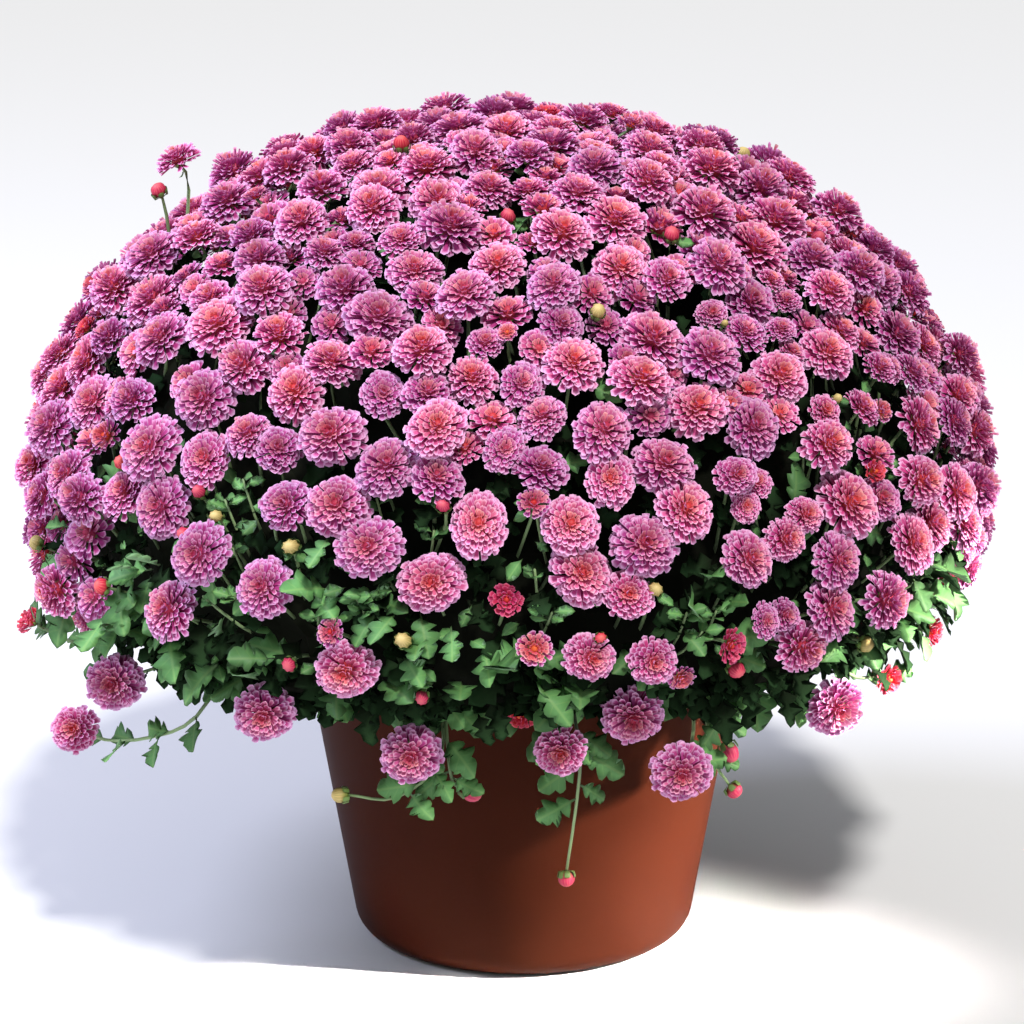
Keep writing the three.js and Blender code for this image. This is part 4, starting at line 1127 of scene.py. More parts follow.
def add_leaf(bm, stock, pick, base, along, face, length):
    """along: where the tip points; face: where the leaf's upper side is turned."""
    ahead = along.normalized()
    side = face.cross(ahead).normalized()
    samples = [base + ahead * (length * share) for share in LEAF_MIDDLE]
    samples += [base + (ahead * LEAF_WIDEST + side * across) * length for across in LEAF_SIDES]
    if any(cuts_a_bloom(sample) for sample in samples):
        return
    out = ahead.cross(side)
    turn = Matrix((ahead, side, out)).transposed().to_4x4()
    place = Matrix.Translation(base) @ turn @ Matrix.Scale(length, 4)
    add_copy(bm, stock[int(pick * len(stock)) % len(stock)], place)


print("a bloom's own middle is cut:", cuts_a_bloom(every_bloom[0].centre))

# %% [markdown]
# ## Finishing a piece
# Every piece ends the same way: shrunk to metres, kept inside the solids' box, given its
# materials and told which body it rides on, and the solid it replaces is hidden.

# %% Turn a bmesh into a finished piece
BOX_MARGIN = 0.0001
finished_pieces = []


def new_object(name, data):
    made = bpy.data.objects.new(name, data)
    bpy.context.scene.collection.objects.link(made)
    return made


def finish_piece(bm, name, nodes, materials):
    bm.transform(Matrix.Scale(MM, 4))
    for vert in bm.verts:
        for axis in range(3):
            low, high = cad_low[axis] + BOX_MARGIN, cad_high[axis] - BOX_MARGIN
            vert.co[axis] = min(high, max(low, vert.co[axis]))
    piece = new_object(name, mesh_from(bm, name))
    for material in materials:
        piece.data.materials.append(material)
    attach(piece, "root")
    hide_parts(*nodes)
    finished_pieces.append(piece)


print("pieces so far:", len(finished_pieces))

# %% [markdown]
# ## Wiring materials by name
# A material is a small circuit. Four helpers keep the wiring short: one adds a node, one feeds
# a socket with a number or with another node's answer, one does sums and one mixes colours.

# %% Helpers for nodes
def node(tree, kind, **settings):
    made = tree.nodes.new(kind)
    for name, value in settings.items():
        setattr(made, name, value)
    return made


def feed(tree, socket, value):
    if isinstance(value, bpy.types.NodeSocket):
        tree.links.new(value, socket)
    else:
        socket.default_value = value


def maths(tree, operation, *values, clamp=False):
    made = node(tree, "ShaderNodeMath", operation=operation, use_clamp=clamp)
    for socket, value in zip(made.inputs, values):
        feed(tree, socket, value)
    return made.outputs[0]


def mix_colours(tree, share, first, second):
    made = node(tree, "ShaderNodeMix", data_type="RGBA")
    for name, value in (("Factor_Float", share), ("A_Color", first), ("B_Color", second)):
        feed(tree, next(s for s in made.inputs if s.identifier == name), value)
    return next(s for s in made.outputs if s.identifier == "Result_Color")


scratch = bpy.data.node_groups.new("scratch", "ShaderNodeTree")
maths(scratch, "ADD", 1.0, maths(scratch, "MULTIPLY", 2.0, 3.0))
print("links between two sums:", len(scratch.links))
bpy.data.node_groups.remove(scratch)

# %% [markdown]
# A group is a circuit that is built once and placed in several materials, each time with values
# of its own. Its sockets are named, so that a material says what it asks for in plain words.

# %% Helpers for node groups
def new_group(name, inputs, outputs):
    """inputs: name and usual value of each; a colour is told by its four numbers."""
    group = bpy.data.node_groups.new(name, "ShaderNodeTree")
    for title, value in inputs.items():
        kind = "NodeSocketColor" if isinstance(value, tuple) else "NodeSocketFloat"
        kind = "NodeSocketVector" if value is None else kind
        socket = group.interface.new_socket(title, in_out="INPUT", socket_type=kind)
        if value is not None:
            socket.default_value = value
    for title in outputs:
        kind = "NodeSocketColor" if title == "Color" else "NodeSocketFloat"
        group.interface.new_socket(title, in_out="OUTPUT", socket_type=kind)
    asked = node(group, "NodeGroupInput").outputs if inputs else None
    return group, asked, node(group, "NodeGroupOutput").inputs


def placed(tree, group, **values):
    made = node(tree, "ShaderNodeGroup", node_tree=group)
    for name, value in values.items():
        feed(tree, made.inputs[name.replace("_", " ").title()], value)
    return made.outputs


scratch = new_group("scratch", {"Share": 0.5}, ("Color",))[0]
print("sockets of a small group:", [socket.name for socket in scratch.interface.items_tree])
bpy.data.node_groups.remove(scratch)

# %% [markdown]
# Every material here is one Principled surface with a name, a roughness and a faint gloss. The
# colours are written as one picks them on a screen and turned into the numbers a shader takes.

# %% New materials and their colours
def new_material(name, roughness, specular):
    material = bpy.data.materials.new(name)
    material.use_nodes = True
    sockets = material.node_tree.nodes["Principled BSDF"].inputs
    sockets["Roughness"].default_value = roughness
    sockets["Specular IOR Level"].default_value = specular
    return material, material.node_tree, sockets


def srgb(red, green, blue):
    """A colour picked on a screen, in the linear numbers that shaders take."""
    def linear(value):
        value /= 255
        return value / 12.92 if value <= 0.04045 else ((value + 0.055) / 1.055) ** 2.4
    return (linear(red), linear(green), linear(blue), 1.0)


WHITE = srgb(255, 255, 255)
print("middle grey in linear numbers:", round(srgb(128, 128, 128)[0], 3))

# %% [markdown]
# ## Reading the colour sheet in a material
# The plant's materials start by asking where on the sheet they are. That question is a node
# group with four answers: which row, which shade, how far off the middle line and how far along.
# Building it once keeps the petals and the greens in step.

# %% Node group that reads the sheet
def sheet_reader():
    group, _, answers = new_group(
        "Where on the colour sheet", {}, ("Row", "Shade", "Off Middle", "Along"))
    place = node(group, "ShaderNodeUVMap", uv_map=SHEET_MAP)
    split = node(group, "ShaderNodeSeparateXYZ")
    group.links.new(place.outputs["UV"], split.inputs[0])
    shares = []
    for axis, count, whole in ((0, SHADES, "Shade"), (1, len(SHEET_ROWS), "Row")):
        spread = maths(group, "MULTIPLY", split.outputs[axis], count)
        middle = maths(group, "ADD", maths(group, "FLOOR", spread), 0.5)
        feed(group, answers[whole], maths(group, "DIVIDE", middle, count))
        centred = maths(group, "SUBTRACT", maths(group, "FRACT", spread), SQUARE_INSET)
        shares.append(maths(group, "DIVIDE", centred, 1 - 2 * SQUARE_INSET, clamp=True))
    across, along = shares
    from_middle = maths(group, "ABSOLUTE", maths(group, "MULTIPLY_ADD", across, 2.0, -1.0))
    feed(group, answers["Off Middle"], from_middle)
    feed(group, answers["Along"], along)
    return group


SHEET_READER = sheet_reader()
print("answers of the sheet reader:", len(SHEET_READER.interface.items_tree))

# %% [markdown]
# Neighbouring petals and leaves differ a little in tone. A second group turns the shade into more
# or less brightness and a slightly other hue; each material gives the base and the spread.

# %% Node group that tones a colour
def shade_toner():
    """Value and hue each start at a base and spread with the shade; dim darkens the value."""
    # Dim carries the greens' painted shade at the foot.
    group, asked, answers = new_group("Tone by shade", {
        "Color": WHITE, "Shade": 0.5, "Value Base": 1.0, "Value Spread": 0.0, "Hue Base": 0.5,
        "Hue Spread": 0.0, "Saturation": 1.0, "Dim": 1.0}, ("Color",))
    toned = node(group, "ShaderNodeHueSaturation")
    value, hue = (
        maths(group, "MULTIPLY_ADD", asked["Shade"], asked[part + " Spread"],
              asked[part + " Base"])
        for part in ("Value", "Hue"))
    feed(group, toned.inputs["Value"], maths(group, "MULTIPLY", value, asked["Dim"]))
    feed(group, toned.inputs["Hue"], hue)
    feed(group, toned.inputs["Saturation"], asked["Saturation"])
    feed(group, toned.inputs["Color"], asked["Color"])
    feed(group, answers["Color"], toned.outputs["Color"])
    return group


SHADE_TONER = shade_toner()
print("values of the toner:", len(SHADE_TONER.interface.items_tree) - 1)

# %% [markdown]
# A colour ramp with flat steps works as a list of colours, one for each row. It stays outside the
# groups, because each material has a list of its own. Where a colour is to fade into another, a
# smooth step says how far.

# %% A list of colours by row, and a smooth step
def row_colours(tree, row, colours, column):
    """A ramp of flat steps that gives each row of the sheet its colour."""
    ramp = node(tree, "ShaderNodeValToRGB")
    ramp.color_ramp.interpolation = "CONSTANT"
    steps = ramp.color_ramp.elements
    for number, name in enumerate(SHEET_ROWS):
        at = number / len(SHEET_ROWS)
        step = steps[number] if number < 2 else steps.new(at)
        step.position = at
        step.color = srgb(*colours.get(name, colours["any other"])[column])
    tree.links.new(row, ramp.inputs[0])
    return ramp.outputs["Color"]


def smooth_step(tree, value, low, high):
    made = node(tree, "ShaderNodeMapRange", interpolation_type="SMOOTHSTEP")
    tree.links.new(value, made.inputs["Value"])
    made.inputs["From Min"].default_value = low
    made.inputs["From Max"].default_value = high
    return made.outputs["Result"]


print("rows that need a colour:", len(SHEET_ROWS))

# %% [markdown]
# ## The petals' colour
# A mauve-pink petal carries a painted highlight, palest along its rim and tip, is stronger down
# its crease and carries painted shade, magenta, at the foot, where the next ring shades it. The
# heart is coral red with golden tips. So the colour is three ramps, one for the body, the painted
# highlight of the rim and the painted shade of the foot, mixed by how far out on the petal we are.

# %% Petal material
BODY, HIGHLIGHT, FOOT = range(3)
# Columns: body, painted highlight of rim and tip, painted shade at the foot (a bud's green base).
PETAL_COLOURS = {
    "outer petal": ((186, 68, 136), (236, 182, 224), (142, 22, 92)),
    "middle petal": ((192, 76, 140), (236, 180, 220), (146, 26, 90)),
    "inner petal": ((208, 104, 148), (238, 178, 204), (182, 64, 110)),
    "crown petal": ((218, 118, 138), (240, 178, 182), (196, 84, 116)),
    "heart petal": ((198, 84, 104), (232, 134, 138), (182, 62, 86)),
    "petal back": ((188, 88, 144), (226, 156, 200), (176, 72, 128)),
    "young petal": ((208, 64, 96), (232, 120, 146), (168, 36, 68)),
    "young back": ((194, 62, 102), (226, 120, 156), (150, 38, 72)),
    "golden eye": ((222, 120, 60), (238, 186, 90), (208, 80, 60)),
    "coral bud": ((204, 58, 80), (226, 104, 104), (140, 84, 60)),
    "cream bud": ((178, 156, 98), (206, 180, 122), (118, 134, 62)),
    "any other": ((150, 60, 110), (200, 130, 170), (110, 40, 80)),
}


def petal_material():
    material, tree, sockets = new_material("mauve pink petals", roughness=0.52, specular=0.35)
    where = placed(tree, SHEET_READER)
    along = where["Along"]
    # rim marks where the painted highlight lies, foot where the painted shade lies.
    rim = maths(tree, "MAXIMUM", smooth_step(tree, where["Off Middle"], 0.42, 1.0),
                smooth_step(tree, along, 0.78, 1.0))
    rim = maths(tree, "MULTIPLY", rim, smooth_step(tree, along, 0.25, 0.75))
    foot = maths(tree, "SUBTRACT", 1.0, smooth_step(tree, along, 0.06, 0.60))
    body, edge, root = (
        row_colours(tree, where["Row"], PETAL_COLOURS, column) for column in (BODY, HIGHLIGHT, FOOT))
    colour = mix_colours(tree, foot, mix_colours(tree, rim, body, edge), root)
    toned = placed(tree, SHADE_TONER, color=colour, shade=where["Shade"], value_base=0.78,
                   value_spread=0.40, hue_base=0.482, hue_spread=0.036, saturation=1.03)
    feed(tree, sockets["Base Color"], toned["Color"])
    return material


petal_finish = petal_material()
print("petal colours:", 3 * len(PETAL_COLOURS))

# %% [markdown]
# ## The greens
# Leaves are mid green with a paler midrib and side veins, and paler and duller beneath. Painted
# shade darkens leaves, stems and calyxes towards the foot. Stems and calyxes are greyer. The veins
# are only colour: the midrib is the middle line of the sheet's square, and the side veins are
# stripes that slant away from it.

# %% Material of leaves, stems and calyxes
BLADE, VEIN = range(2)
GREEN_COLOURS = {
    "calyx": ((100, 126, 64), (120, 140, 70)),
    "stem": ((132, 158, 110), (124, 148, 98)),
    "leaf": ((92, 142, 80), (122, 162, 92)),
    "leaf back": ((112, 152, 104), (122, 154, 102)),
    "any other": ((70, 110, 52), (100, 130, 80)),
}
SIDE_VEINS = 5.0
VEIN_SLANT = 0.30
VEIN_STRENGTH = 0.55


def green_material():
    material, tree, sockets = new_material("leaf and stem green", roughness=0.55, specular=0.35)
    where = placed(tree, SHEET_READER)
    along, off_middle = where["Along"], where["Off Middle"]
    midrib = maths(tree, "SUBTRACT", 1.0, smooth_step(tree, off_middle, 0.02, 0.10))
    slanted = maths(tree, "SUBTRACT", along, maths(tree, "MULTIPLY", off_middle, VEIN_SLANT))
    phase = maths(tree, "FRACT", maths(tree, "MULTIPLY_ADD", slanted, SIDE_VEINS, 2.0))
    off_vein = maths(tree, "ABSOLUTE", maths(tree, "MULTIPLY_ADD", phase, 2.0, -1.0))
    side = maths(tree, "SUBTRACT", 1.0, smooth_step(tree, off_vein, 0.02, 0.22))
    vein = maths(tree, "MAXIMUM", midrib, maths(tree, "MULTIPLY", side, VEIN_STRENGTH))
    blade, bright = (
        row_colours(tree, where["Row"], GREEN_COLOURS, column) for column in (BLADE, VEIN))
    colour = mix_colours(tree, maths(tree, "MULTIPLY", vein, VEIN_STRENGTH), blade, bright)
    # Painted shade: the value dims towards the foot of each leaf, stem and calyx.
    clear_of_foot_shade = smooth_step(tree, along, -0.05, 0.40)
    toned = placed(tree, SHADE_TONER, color=colour, shade=where["Shade"], value_base=0.62,
                   value_spread=0.7, dim=maths(tree, "MULTIPLY_ADD", clear_of_foot_shade, 0.9, 0.1))
    feed(tree, sockets["Base Color"], toned["Color"])
    return material


green_finish = green_material()
print("green colours:", 2 * len(GREEN_COLOURS))

# %% [markdown]
# The thicket inside the plant and the leaves deep in it get a finish of their own, nearly black
# and quite dull so that nothing glints in there. The dark colour is painted shade, since hardly
# any light reaches in, and darkest at a leaf's foot.

# %% Material of the shaded inside
def shaded_material():
    material, tree, sockets = new_material("shaded green", roughness=1.0, specular=0.05)
    where = placed(tree, SHEET_READER)
    # Painted shade: darkest at the foot, greener towards the tip.
    colour = mix_colours(tree, where["Along"], srgb(22, 24, 17), srgb(38, 62, 36))
    toned = placed(tree, SHADE_TONER, color=colour, shade=where["Shade"], value_base=0.5,
                   value_spread=0.8)
    feed(tree, sockets["Base Color"], toned["Color"])
    return material


PLANT_FINISHES = [petal_finish, green_finish, shaded_material()]
print("plant finishes:", [material.name for material in PLANT_FINISHES])

# %% [markdown]
# ## The dome's bunches
# Each bunch replaces one of the solids' bunches. Under every bloom but the late tucked ones a
# short stem runs in to the thicket, and leaves fill the cracks between the blooms. The stems come
# up from lower down inside, as they do on the plant, so they show in the cracks below their
# blooms.

# %% Short stems and the leaves in the cracks
NECK_SHARE = 0.36


def neck_of(bloom):
    return bloom.centre - bloom.normal * (bloom.radius * NECK_SHARE)


def add_short_stem(bm, bloom, draw):
    neck = neck_of(bloom)
    bend = neck - bloom.normal * 12 - UPWARDS * 5
    lower = max(225.0, bloom.height - 40 - 25 * draw())
    root = on_bun(bun_direction(bloom.degrees + 8 * (draw() - 0.5), lower), -48)
    add_stem(bm, smooth_path([root, bend, neck], 2), 1.3, 1.0, draw() * SHADES, sides=4)
    for _ in range(2):
        swing, pick, share = several(draw, 3)
        out = rimwise(bloom.degrees) * (swing - 0.5) * 2 - UPWARDS * 0.3
        face = around_front(bloom.degrees) + UPWARDS * 0.6
        add_leaf(bm, leaflet_stock, pick, bend.lerp(neck, 0.4 + 0.6 * share),
                 out + bloom.normal * 0.4, face, between(9, 15, pick))


def add_crack_leaves(bm, bloom, draw, count, depths, lengths, stock):
    for _ in range(count):
        swing, sink, rise, twist, pick, growth = several(draw, 6)
        turn = swing * FULL_TURN
        across = bloom.normal.cross(rimwise(bloom.degrees))
        out = rimwise(bloom.degrees) * math.cos(turn) + across * math.sin(turn)
        base = bloom.centre - bun_normal(bloom.direction) * between(*depths, sink)
        base += out * (bloom.radius * 0.4)
        along = out + bloom.normal * (0.1 + 0.5 * rise)
        face = bloom.normal + rimwise(bloom.degrees) * (twist - 0.5) - out * 0.4
        add_leaf(bm, stock, pick, base, along, face, between(*lengths, growth))


try_out("a short stem with its leaflets", add_short_stem, dome_blooms[0], seeded_random(1))

# %% [markdown]
# Each bunch is now put together, bloom by bloom. Low on the dome, where more light gets in from
# the side, a crack is likelier to hold a leaf in full green.

# %% Build the bunches of the dome
SUNNY_BELOW = 400
SUNNY_CHANCES = (0.55, 0.15)
for number, bunch in enumerate(bunches, start=1):
    draw = seeded_random(700 + number)
    bm = new_bmesh()
    for bloom in bunch:
        add_bloom(bm, bloom)
        if bloom.kind == "tucked":
            continue
        add_short_stem(bm, bloom, draw)
        if bloom.lift > LIFT:
            continue
        sunny = draw() < SUNNY_CHANCES[bloom.height >= SUNNY_BELOW]
        add_crack_leaves(bm, bloom, draw, int(sunny), (9, 16), (18, 30), leaf_stock)
        add_crack_leaves(bm, bloom, draw, 2, (18, 34), (16, 28), shaded_leaf_stock)
    name = f"bloom_bunch_{number:02d}"
    finish_piece(bm, name, [f"bloom_cluster_{number:02d}"], PLANT_FINISHES)
print("bunches built:", len(bunches))

# %% [markdown]
# ## The branches
# A branch is a slice of dark thicket with leaves and stems standing out of it. The thicket is a
# ball as large as the bun less a hand's depth, roughened by noise so that no smooth skin shows
# between the leaves, then cut flat below and along the slice's two sides. Because the noise is
# applied before the cuts, neighbouring slices meet without a step.

# %% The thicket inside the plant
THICKET_DEPTH = 37.0
THICKET_FOOT = 237.0
ROUGH_SCALE = 0.05
ROUGH_HEIGHT = 11
ROUGH_SINK = 3


def cut_flat(bm, point, outwards):
    """Cuts off what lies past a plane and closes the cut."""
    geom = list(bm.verts) + list(bm.edges) + list(bm.faces)
    made = bmesh.ops.bisect_plane(
        bm, geom=geom, dist=0.001, plane_co=point, plane_no=outwards, clear_outer=True)
    rim = [item for item in made["geom_cut"] if isinstance(item, bmesh.types.BMEdge)]
    bmesh.ops.edgenet_fill(bm, edges=rim)


def add_thicket(bm, degrees, shade):
    reach = BUN.reach - THICKET_DEPTH
    size = Matrix.Diagonal((reach, reach, BUN.up - THICKET_DEPTH, 1))
    bmesh.ops.create_uvsphere(
        bm, u_segments=72, v_segments=36, radius=1.0, matrix=Matrix.Translation(BUN_CENTRE) @ size)
    for vert in bm.verts:
        push = noise.noise(vert.co * ROUGH_SCALE) * ROUGH_HEIGHT - ROUGH_SINK
        vert.co += (vert.co - BUN_CENTRE).normalized() * push
    cut_flat(bm, Vector((0, 0, THICKET_FOOT)), -UPWARDS)
    cut_flat(bm, BUN_CENTRE, rimwise(degrees + SLICE / 2))
    cut_flat(bm, BUN_CENTRE, around_front(degrees - SLICE / 2 - 90))
    bmesh.ops.recalc_face_normals(bm, faces=list(bm.faces))
    # Its nearly black colour is painted shade.
    paint(bm, bm.faces, "deep leaf", shade, SHADED, lambda co: (0.0, 0.0), smooth=False)


try_out("a slice of thicket", add_thicket, 0, 0)

# %% [markdown]
# The skirt's leaves hang round the edge of the thicket, the outer ones green and the inner ones in
# the shaded finish, painted dark as shade. More leaves hang from its underside over the pot's rim,
# so that no straight dark edge shows above the pot.

# %% Leaves of the skirt
def skirt_leaves(bm, degrees, draw, count, heights, depths, lengths, stock):
    for _ in range(count):
        swing, climb, sink, rise, slew, pick, growth = several(draw, 7)
        turn = degrees + (swing - 0.5) * SLICE
        outwards = around_front(turn)
        base = on_bun(bun_direction(turn, between(*heights, climb)), -between(*depths, sink))
        along = outwards * 0.7 + UPWARDS * (rise - 0.62) * 1.5 + rimwise(turn) * (slew - 0.5) * 2.2
        face = outwards * 0.75 + UPWARDS * 0.65 + rimwise(turn) * (growth - 0.5) * 0.8
        add_leaf(bm, stock, pick, base, along, face, between(*lengths, growth))


def hanging_leaves(bm, degrees, draw, count, reaches, rises, lengths, stock):
    for _ in range(count):
        swing, reach, rise, droop, slew = several(draw, 5)
        turn = degrees + (swing - 0.5) * SLICE
        outwards = around_front(turn)
        base = PLANT_AXIS + outwards * between(*reaches, reach) + UPWARDS * between(*rises, rise)
        along = outwards * 0.55 - UPWARDS * (0.5 + 0.5 * droop) + rimwise(turn) * (slew - 0.5)
        face = outwards * 0.8 + UPWARDS * 0.5
        add_leaf(bm, stock, slew, base, along, face, between(*lengths, droop))


try_out("20 skirt leaves, less those that cut a bloom", skirt_leaves, 0, seeded_random(1), 20,
        (228, 318), (4, 20), (22, 38), leaf_stock)

# %% [markdown]
# Each bloom of the skirt has a stem that runs back into the thicket, and a leaf or two grow from
# it. Shoots are young stems that have no bloom yet, only small leaves round the tip; they break
# up the dark between the blooms.

# %% Stems and shoots of the skirt
SHOOT_LEAVES = 5


def add_skirt_stem(bm, bloom, draw):
    outwards = around_front(bloom.degrees)
    neck = neck_of(bloom)
    bend = neck - bloom.normal * 16
    inner = Vector((BUN.x, 0, 236)) + outwards * 205
    middle = bend.lerp(inner, 0.5) + UPWARDS * 4
    path = smooth_path([inner, middle, bend, neck], 2)
    add_stem(bm, path, 1.5, 1.0, draw() * SHADES)
    for share in (2, 4):
        growth, hand, rise = several(draw, 3)
        if growth < 0.25:
            continue
        along = rimwise(bloom.degrees) * (1 if hand > 0.5 else -1) + outwards * 0.6
        along += UPWARDS * (rise - 0.6)
        add_leaf(bm, leaf_stock, rise, path[share], along, outwards * 0.8 + UPWARDS * 0.6,
                 between(22, 38, growth))


def add_shoot(bm, degrees, draw):
    swing, climb, sink, drop = several(draw, 4)
    turn = degrees + (swing - 0.5) * SLICE
    height = between(262, 400, climb)
    tip = on_bun(bun_direction(turn, height), -between(4, 14, sink))
    if cuts_a_bloom(tip):
        return
    lower = max(228.0, height - between(34, 60, drop))
    root = on_bun(bun_direction(turn + 10 * (drop - 0.5), lower), -42)
    path = smooth_path([root, root.lerp(tip, 0.6) - UPWARDS * 4, tip], 2)
    add_stem(bm, path, 1.2, 0.8, sink * SHADES, sides=4)
    outwards, ahead = around_front(turn), (path[-1] - path[-2]).normalized()
    for k in range(SHOOT_LEAVES):
        shift, pick = several(draw, 2)
        base = path[-1].lerp(path[-2], 0.9 * k / SHOOT_LEAVES)
        swing = 2.4 * k + shift
        along = ahead * 0.5 + rimwise(turn) * math.cos(swing) + outwards * (0.6 * math.sin(swing))
        add_leaf(bm, leaflet_stock, pick, base, along, outwards + UPWARDS * 0.7,
                 between(8, 15, pick))


try_out("a skirt stem with its leaves", add_skirt_stem, in_skirt(blooms)[0], seeded_random(1))

# %% [markdown]
# A spray is one long stem that starts well inside the thicket. Leaves stand on its upper half, to
# left and right in turn, and a bud or the neck of a bloom ends it.

# %% Trailing sprays
RUN_IN = 40
LEAF_EVERY = 24
LEAFY_FROM = 0.28
LEAFY_RUN = 0.52


def add_spray(bm, spray, draw):
    points = [Vector(point) for point in spray["points"]]
    if "bloom" in spray:
        normal = Vector(spray["face"]).normalized()
        points += [points[-1] + normal * 3, points[-1] + normal * 6.5]
    inwards = (Vector((BUN.x, 0, points[0].z)) - points[0]).normalized()
    path = smooth_path([points[0] + inwards * RUN_IN, *points], 4)
    add_stem(bm, path, 1.4, 0.9, draw() * SHADES)
    count = max(2, round(sum((b - a).length for a, b in zip(path, path[1:])) / LEAF_EVERY))
    for i in range(count):
        shift, pick, growth = several(draw, 3)
        share = LEAFY_FROM + LEAFY_RUN * (i + 0.6 * shift) / count
        at = min(len(path) - 2, int(share * (len(path) - 1)))
        tangent = (path[at + 1] - path[at]).normalized()
        outwards = Vector((path[at].x, path[at].y, 0)).normalized()
        sideways = outwards.cross(UPWARDS) * (1 if i % 2 else -1)
        along = sideways * 0.8 + tangent * 0.55 + outwards * 0.25
        add_leaf(bm, leaf_stock, pick, path[at], along, outwards + UPWARDS * 0.5,
                 between(20, 34, growth))
    if "bud" in spray:
        outwards = Vector((path[-1].x, path[-1].y, 0)).normalized()
        normal = ((path[-1] - path[-2]).normalized() + outwards * 0.7).normalized()
        add_bloom(bm, SimpleNamespace(
            centre=path[-1] + normal * spray["bud"] * 0.8, normal=normal,
            radius=spray["bud"], kind="bud", turn=draw()))


try_out("a spray", add_spray, SPRAYS[1], seeded_random(1))

# %% [markdown]
# Now the eight branches are put together. The main stem stands in the potting mix. The three
# branches at the front, which are seen from close by, get more shoots and more leaves, in the
# skirt and hanging under it. Buds and the blooms that are not listed one by one make a second
# piece.

# %% Build the branches
FRONT_BRANCHES = (0, 1, 7)
SHOOTS = (7, 18)
STEM_RING = 52
STEM_SPAN = (146, 232)
SKIRT_LEAVES = [
    (26, (228, 318), (4, 20), (22, 38), leaf_stock),
    (80, (226, 335), (16, 38), (18, 32), shaded_leaf_stock),
    (40, (222, 256), (14, 34), (18, 28), shaded_leaf_stock),
    (44, (250, 395), (8, 26), (9, 17), leaflet_stock),
]
HANGING_LEAVES = [
    (12, (176, 236), (232, 248), (30, 46), leaf_stock),
    (34, (170, 285), (232, 248), (20, 34), shaded_leaf_stock),
]
FRONT_SKIRT_LEAVES = (22, (285, 360), (4, 22), (18, 32), leaf_stock)
FRONT_HANGING_LEAVES = (34, (258, 280), (242, 258), (16, 28), shaded_leaf_stock)


def branch_foliage(index, own):
    degrees = index * SLICE
    in_front = index in FRONT_BRANCHES
    draw = seeded_random(800 + index)
    bm = new_bmesh()
    add_thicket(bm, degrees, index % SHADES)
    foot = PLANT_AXIS + around_front(degrees) * STEM_RING
    add_stem(bm, [foot + UPWARDS * height for height in STEM_SPAN], 4.4, 4.2, 2, sides=8)
    for bloom in own:
        add_skirt_stem(bm, bloom, draw)
    for spray in SPRAYS:
        if spray["branch"] == index:
            add_spray(bm, spray, draw)
    for layer in SKIRT_LEAVES:
        skirt_leaves(bm, degrees, draw, *layer)
    for _ in range(SHOOTS[in_front]):
        add_shoot(bm, degrees, draw)
    for layer in HANGING_LEAVES:
        hanging_leaves(bm, degrees, draw, *layer)
    if in_front:
        skirt_leaves(bm, degrees, draw, *FRONT_SKIRT_LEAVES)
        hanging_leaves(bm, degrees, draw, *FRONT_HANGING_LEAVES)
    return bm


for index in range(BRANCHES):
    own = [bloom for bloom in in_skirt(blooms + tucked_blooms)
           if branch_of(bloom.degrees) == index]
    title, nodes = f"branch_{index + 1}", [f"leafy_branch_{index + 1}"]
    finish_piece(branch_foliage(index, own), f"{title}_foliage", nodes, PLANT_FINISHES)
    bm = new_bmesh()
    for bloom in own:
        if not bloom.single or bloom.kind == "bud":
            add_bloom(bm, bloom)
    finish_piece(bm, f"{title}_blooms", nodes, PLANT_FINISHES)
print("pieces so far:", len(finished_pieces))

# %% [markdown]
# ## Blooms that stand alone
# The skirt's own blooms and those that end a spray are pieces of their own.

# %% Build the lone blooms
lone_blooms = [bloom for bloom in blooms if bloom.single and bloom.kind != "bud"] + spray_blooms
for number, bloom in enumerate(lone_blooms, start=1):
    bm = new_bmesh()
    add_bloom(bm, bloom)
    name, nodes = f"lone_bloom_{number:02d}", [f"skirt_bloom_{number:02d}"]
    finish_piece(bm, name, nodes, PLANT_FINISHES)
print("lone blooms:", len(lone_blooms))

# %% [markdown]
# ## The pot
# A thin-walled moulded pan: straight tapering sides, a softly rounded heel, a small lip. Its
# section is a short outline, up the outside, over the lip and down the inside, that we spin once
# round the axis, which gives truly round walls.

# %% Spin the pot from its section
POT = SimpleNamespace(
    height=212.0, rim=149.5, taper=9.9, wall=2.6, heel=17.0, lip=2.2, lip_height=7.0)
POT_SIDES = 96
HEEL_STEPS = 8
LIP_ROUND = 1.2


def wall_line(z):
    return POT.rim - (POT.height - z) * math.tan(math.radians(POT.taper))


def pot_section():
    lean = math.radians(POT.taper)
    heel_radius = wall_line(POT.heel) - POT.heel / math.cos(lean)
    section = [(0, 0.0), (heel_radius, 0.0)]
    for k in range(1, HEEL_STEPS + 1):
        turn = -math.pi / 2 + (k / HEEL_STEPS) * (math.pi / 2 - lean)
        out, up = POT.heel * math.cos(turn), POT.heel * math.sin(turn)
        section.append((heel_radius + out, POT.heel + up))
    lip_foot = POT.height - POT.lip_height
    under_lip, lip_edge = wall_line(lip_foot), POT.rim + POT.lip
    top, inside = POT.height - LIP_ROUND, POT.rim - POT.wall
    section += [(under_lip, lip_foot), (under_lip + POT.lip * 0.7, lip_foot + 0.6)]
    section += [(under_lip + POT.lip, lip_foot + 2.0), (lip_edge, top)]
    section += [(lip_edge - LIP_ROUND, POT.height), (inside + 1, POT.height), (inside, top)]
    section += [(wall_line(POT.heel) - POT.wall, POT.heel), (heel_radius, POT.wall), (0, POT.wall)]
    return section


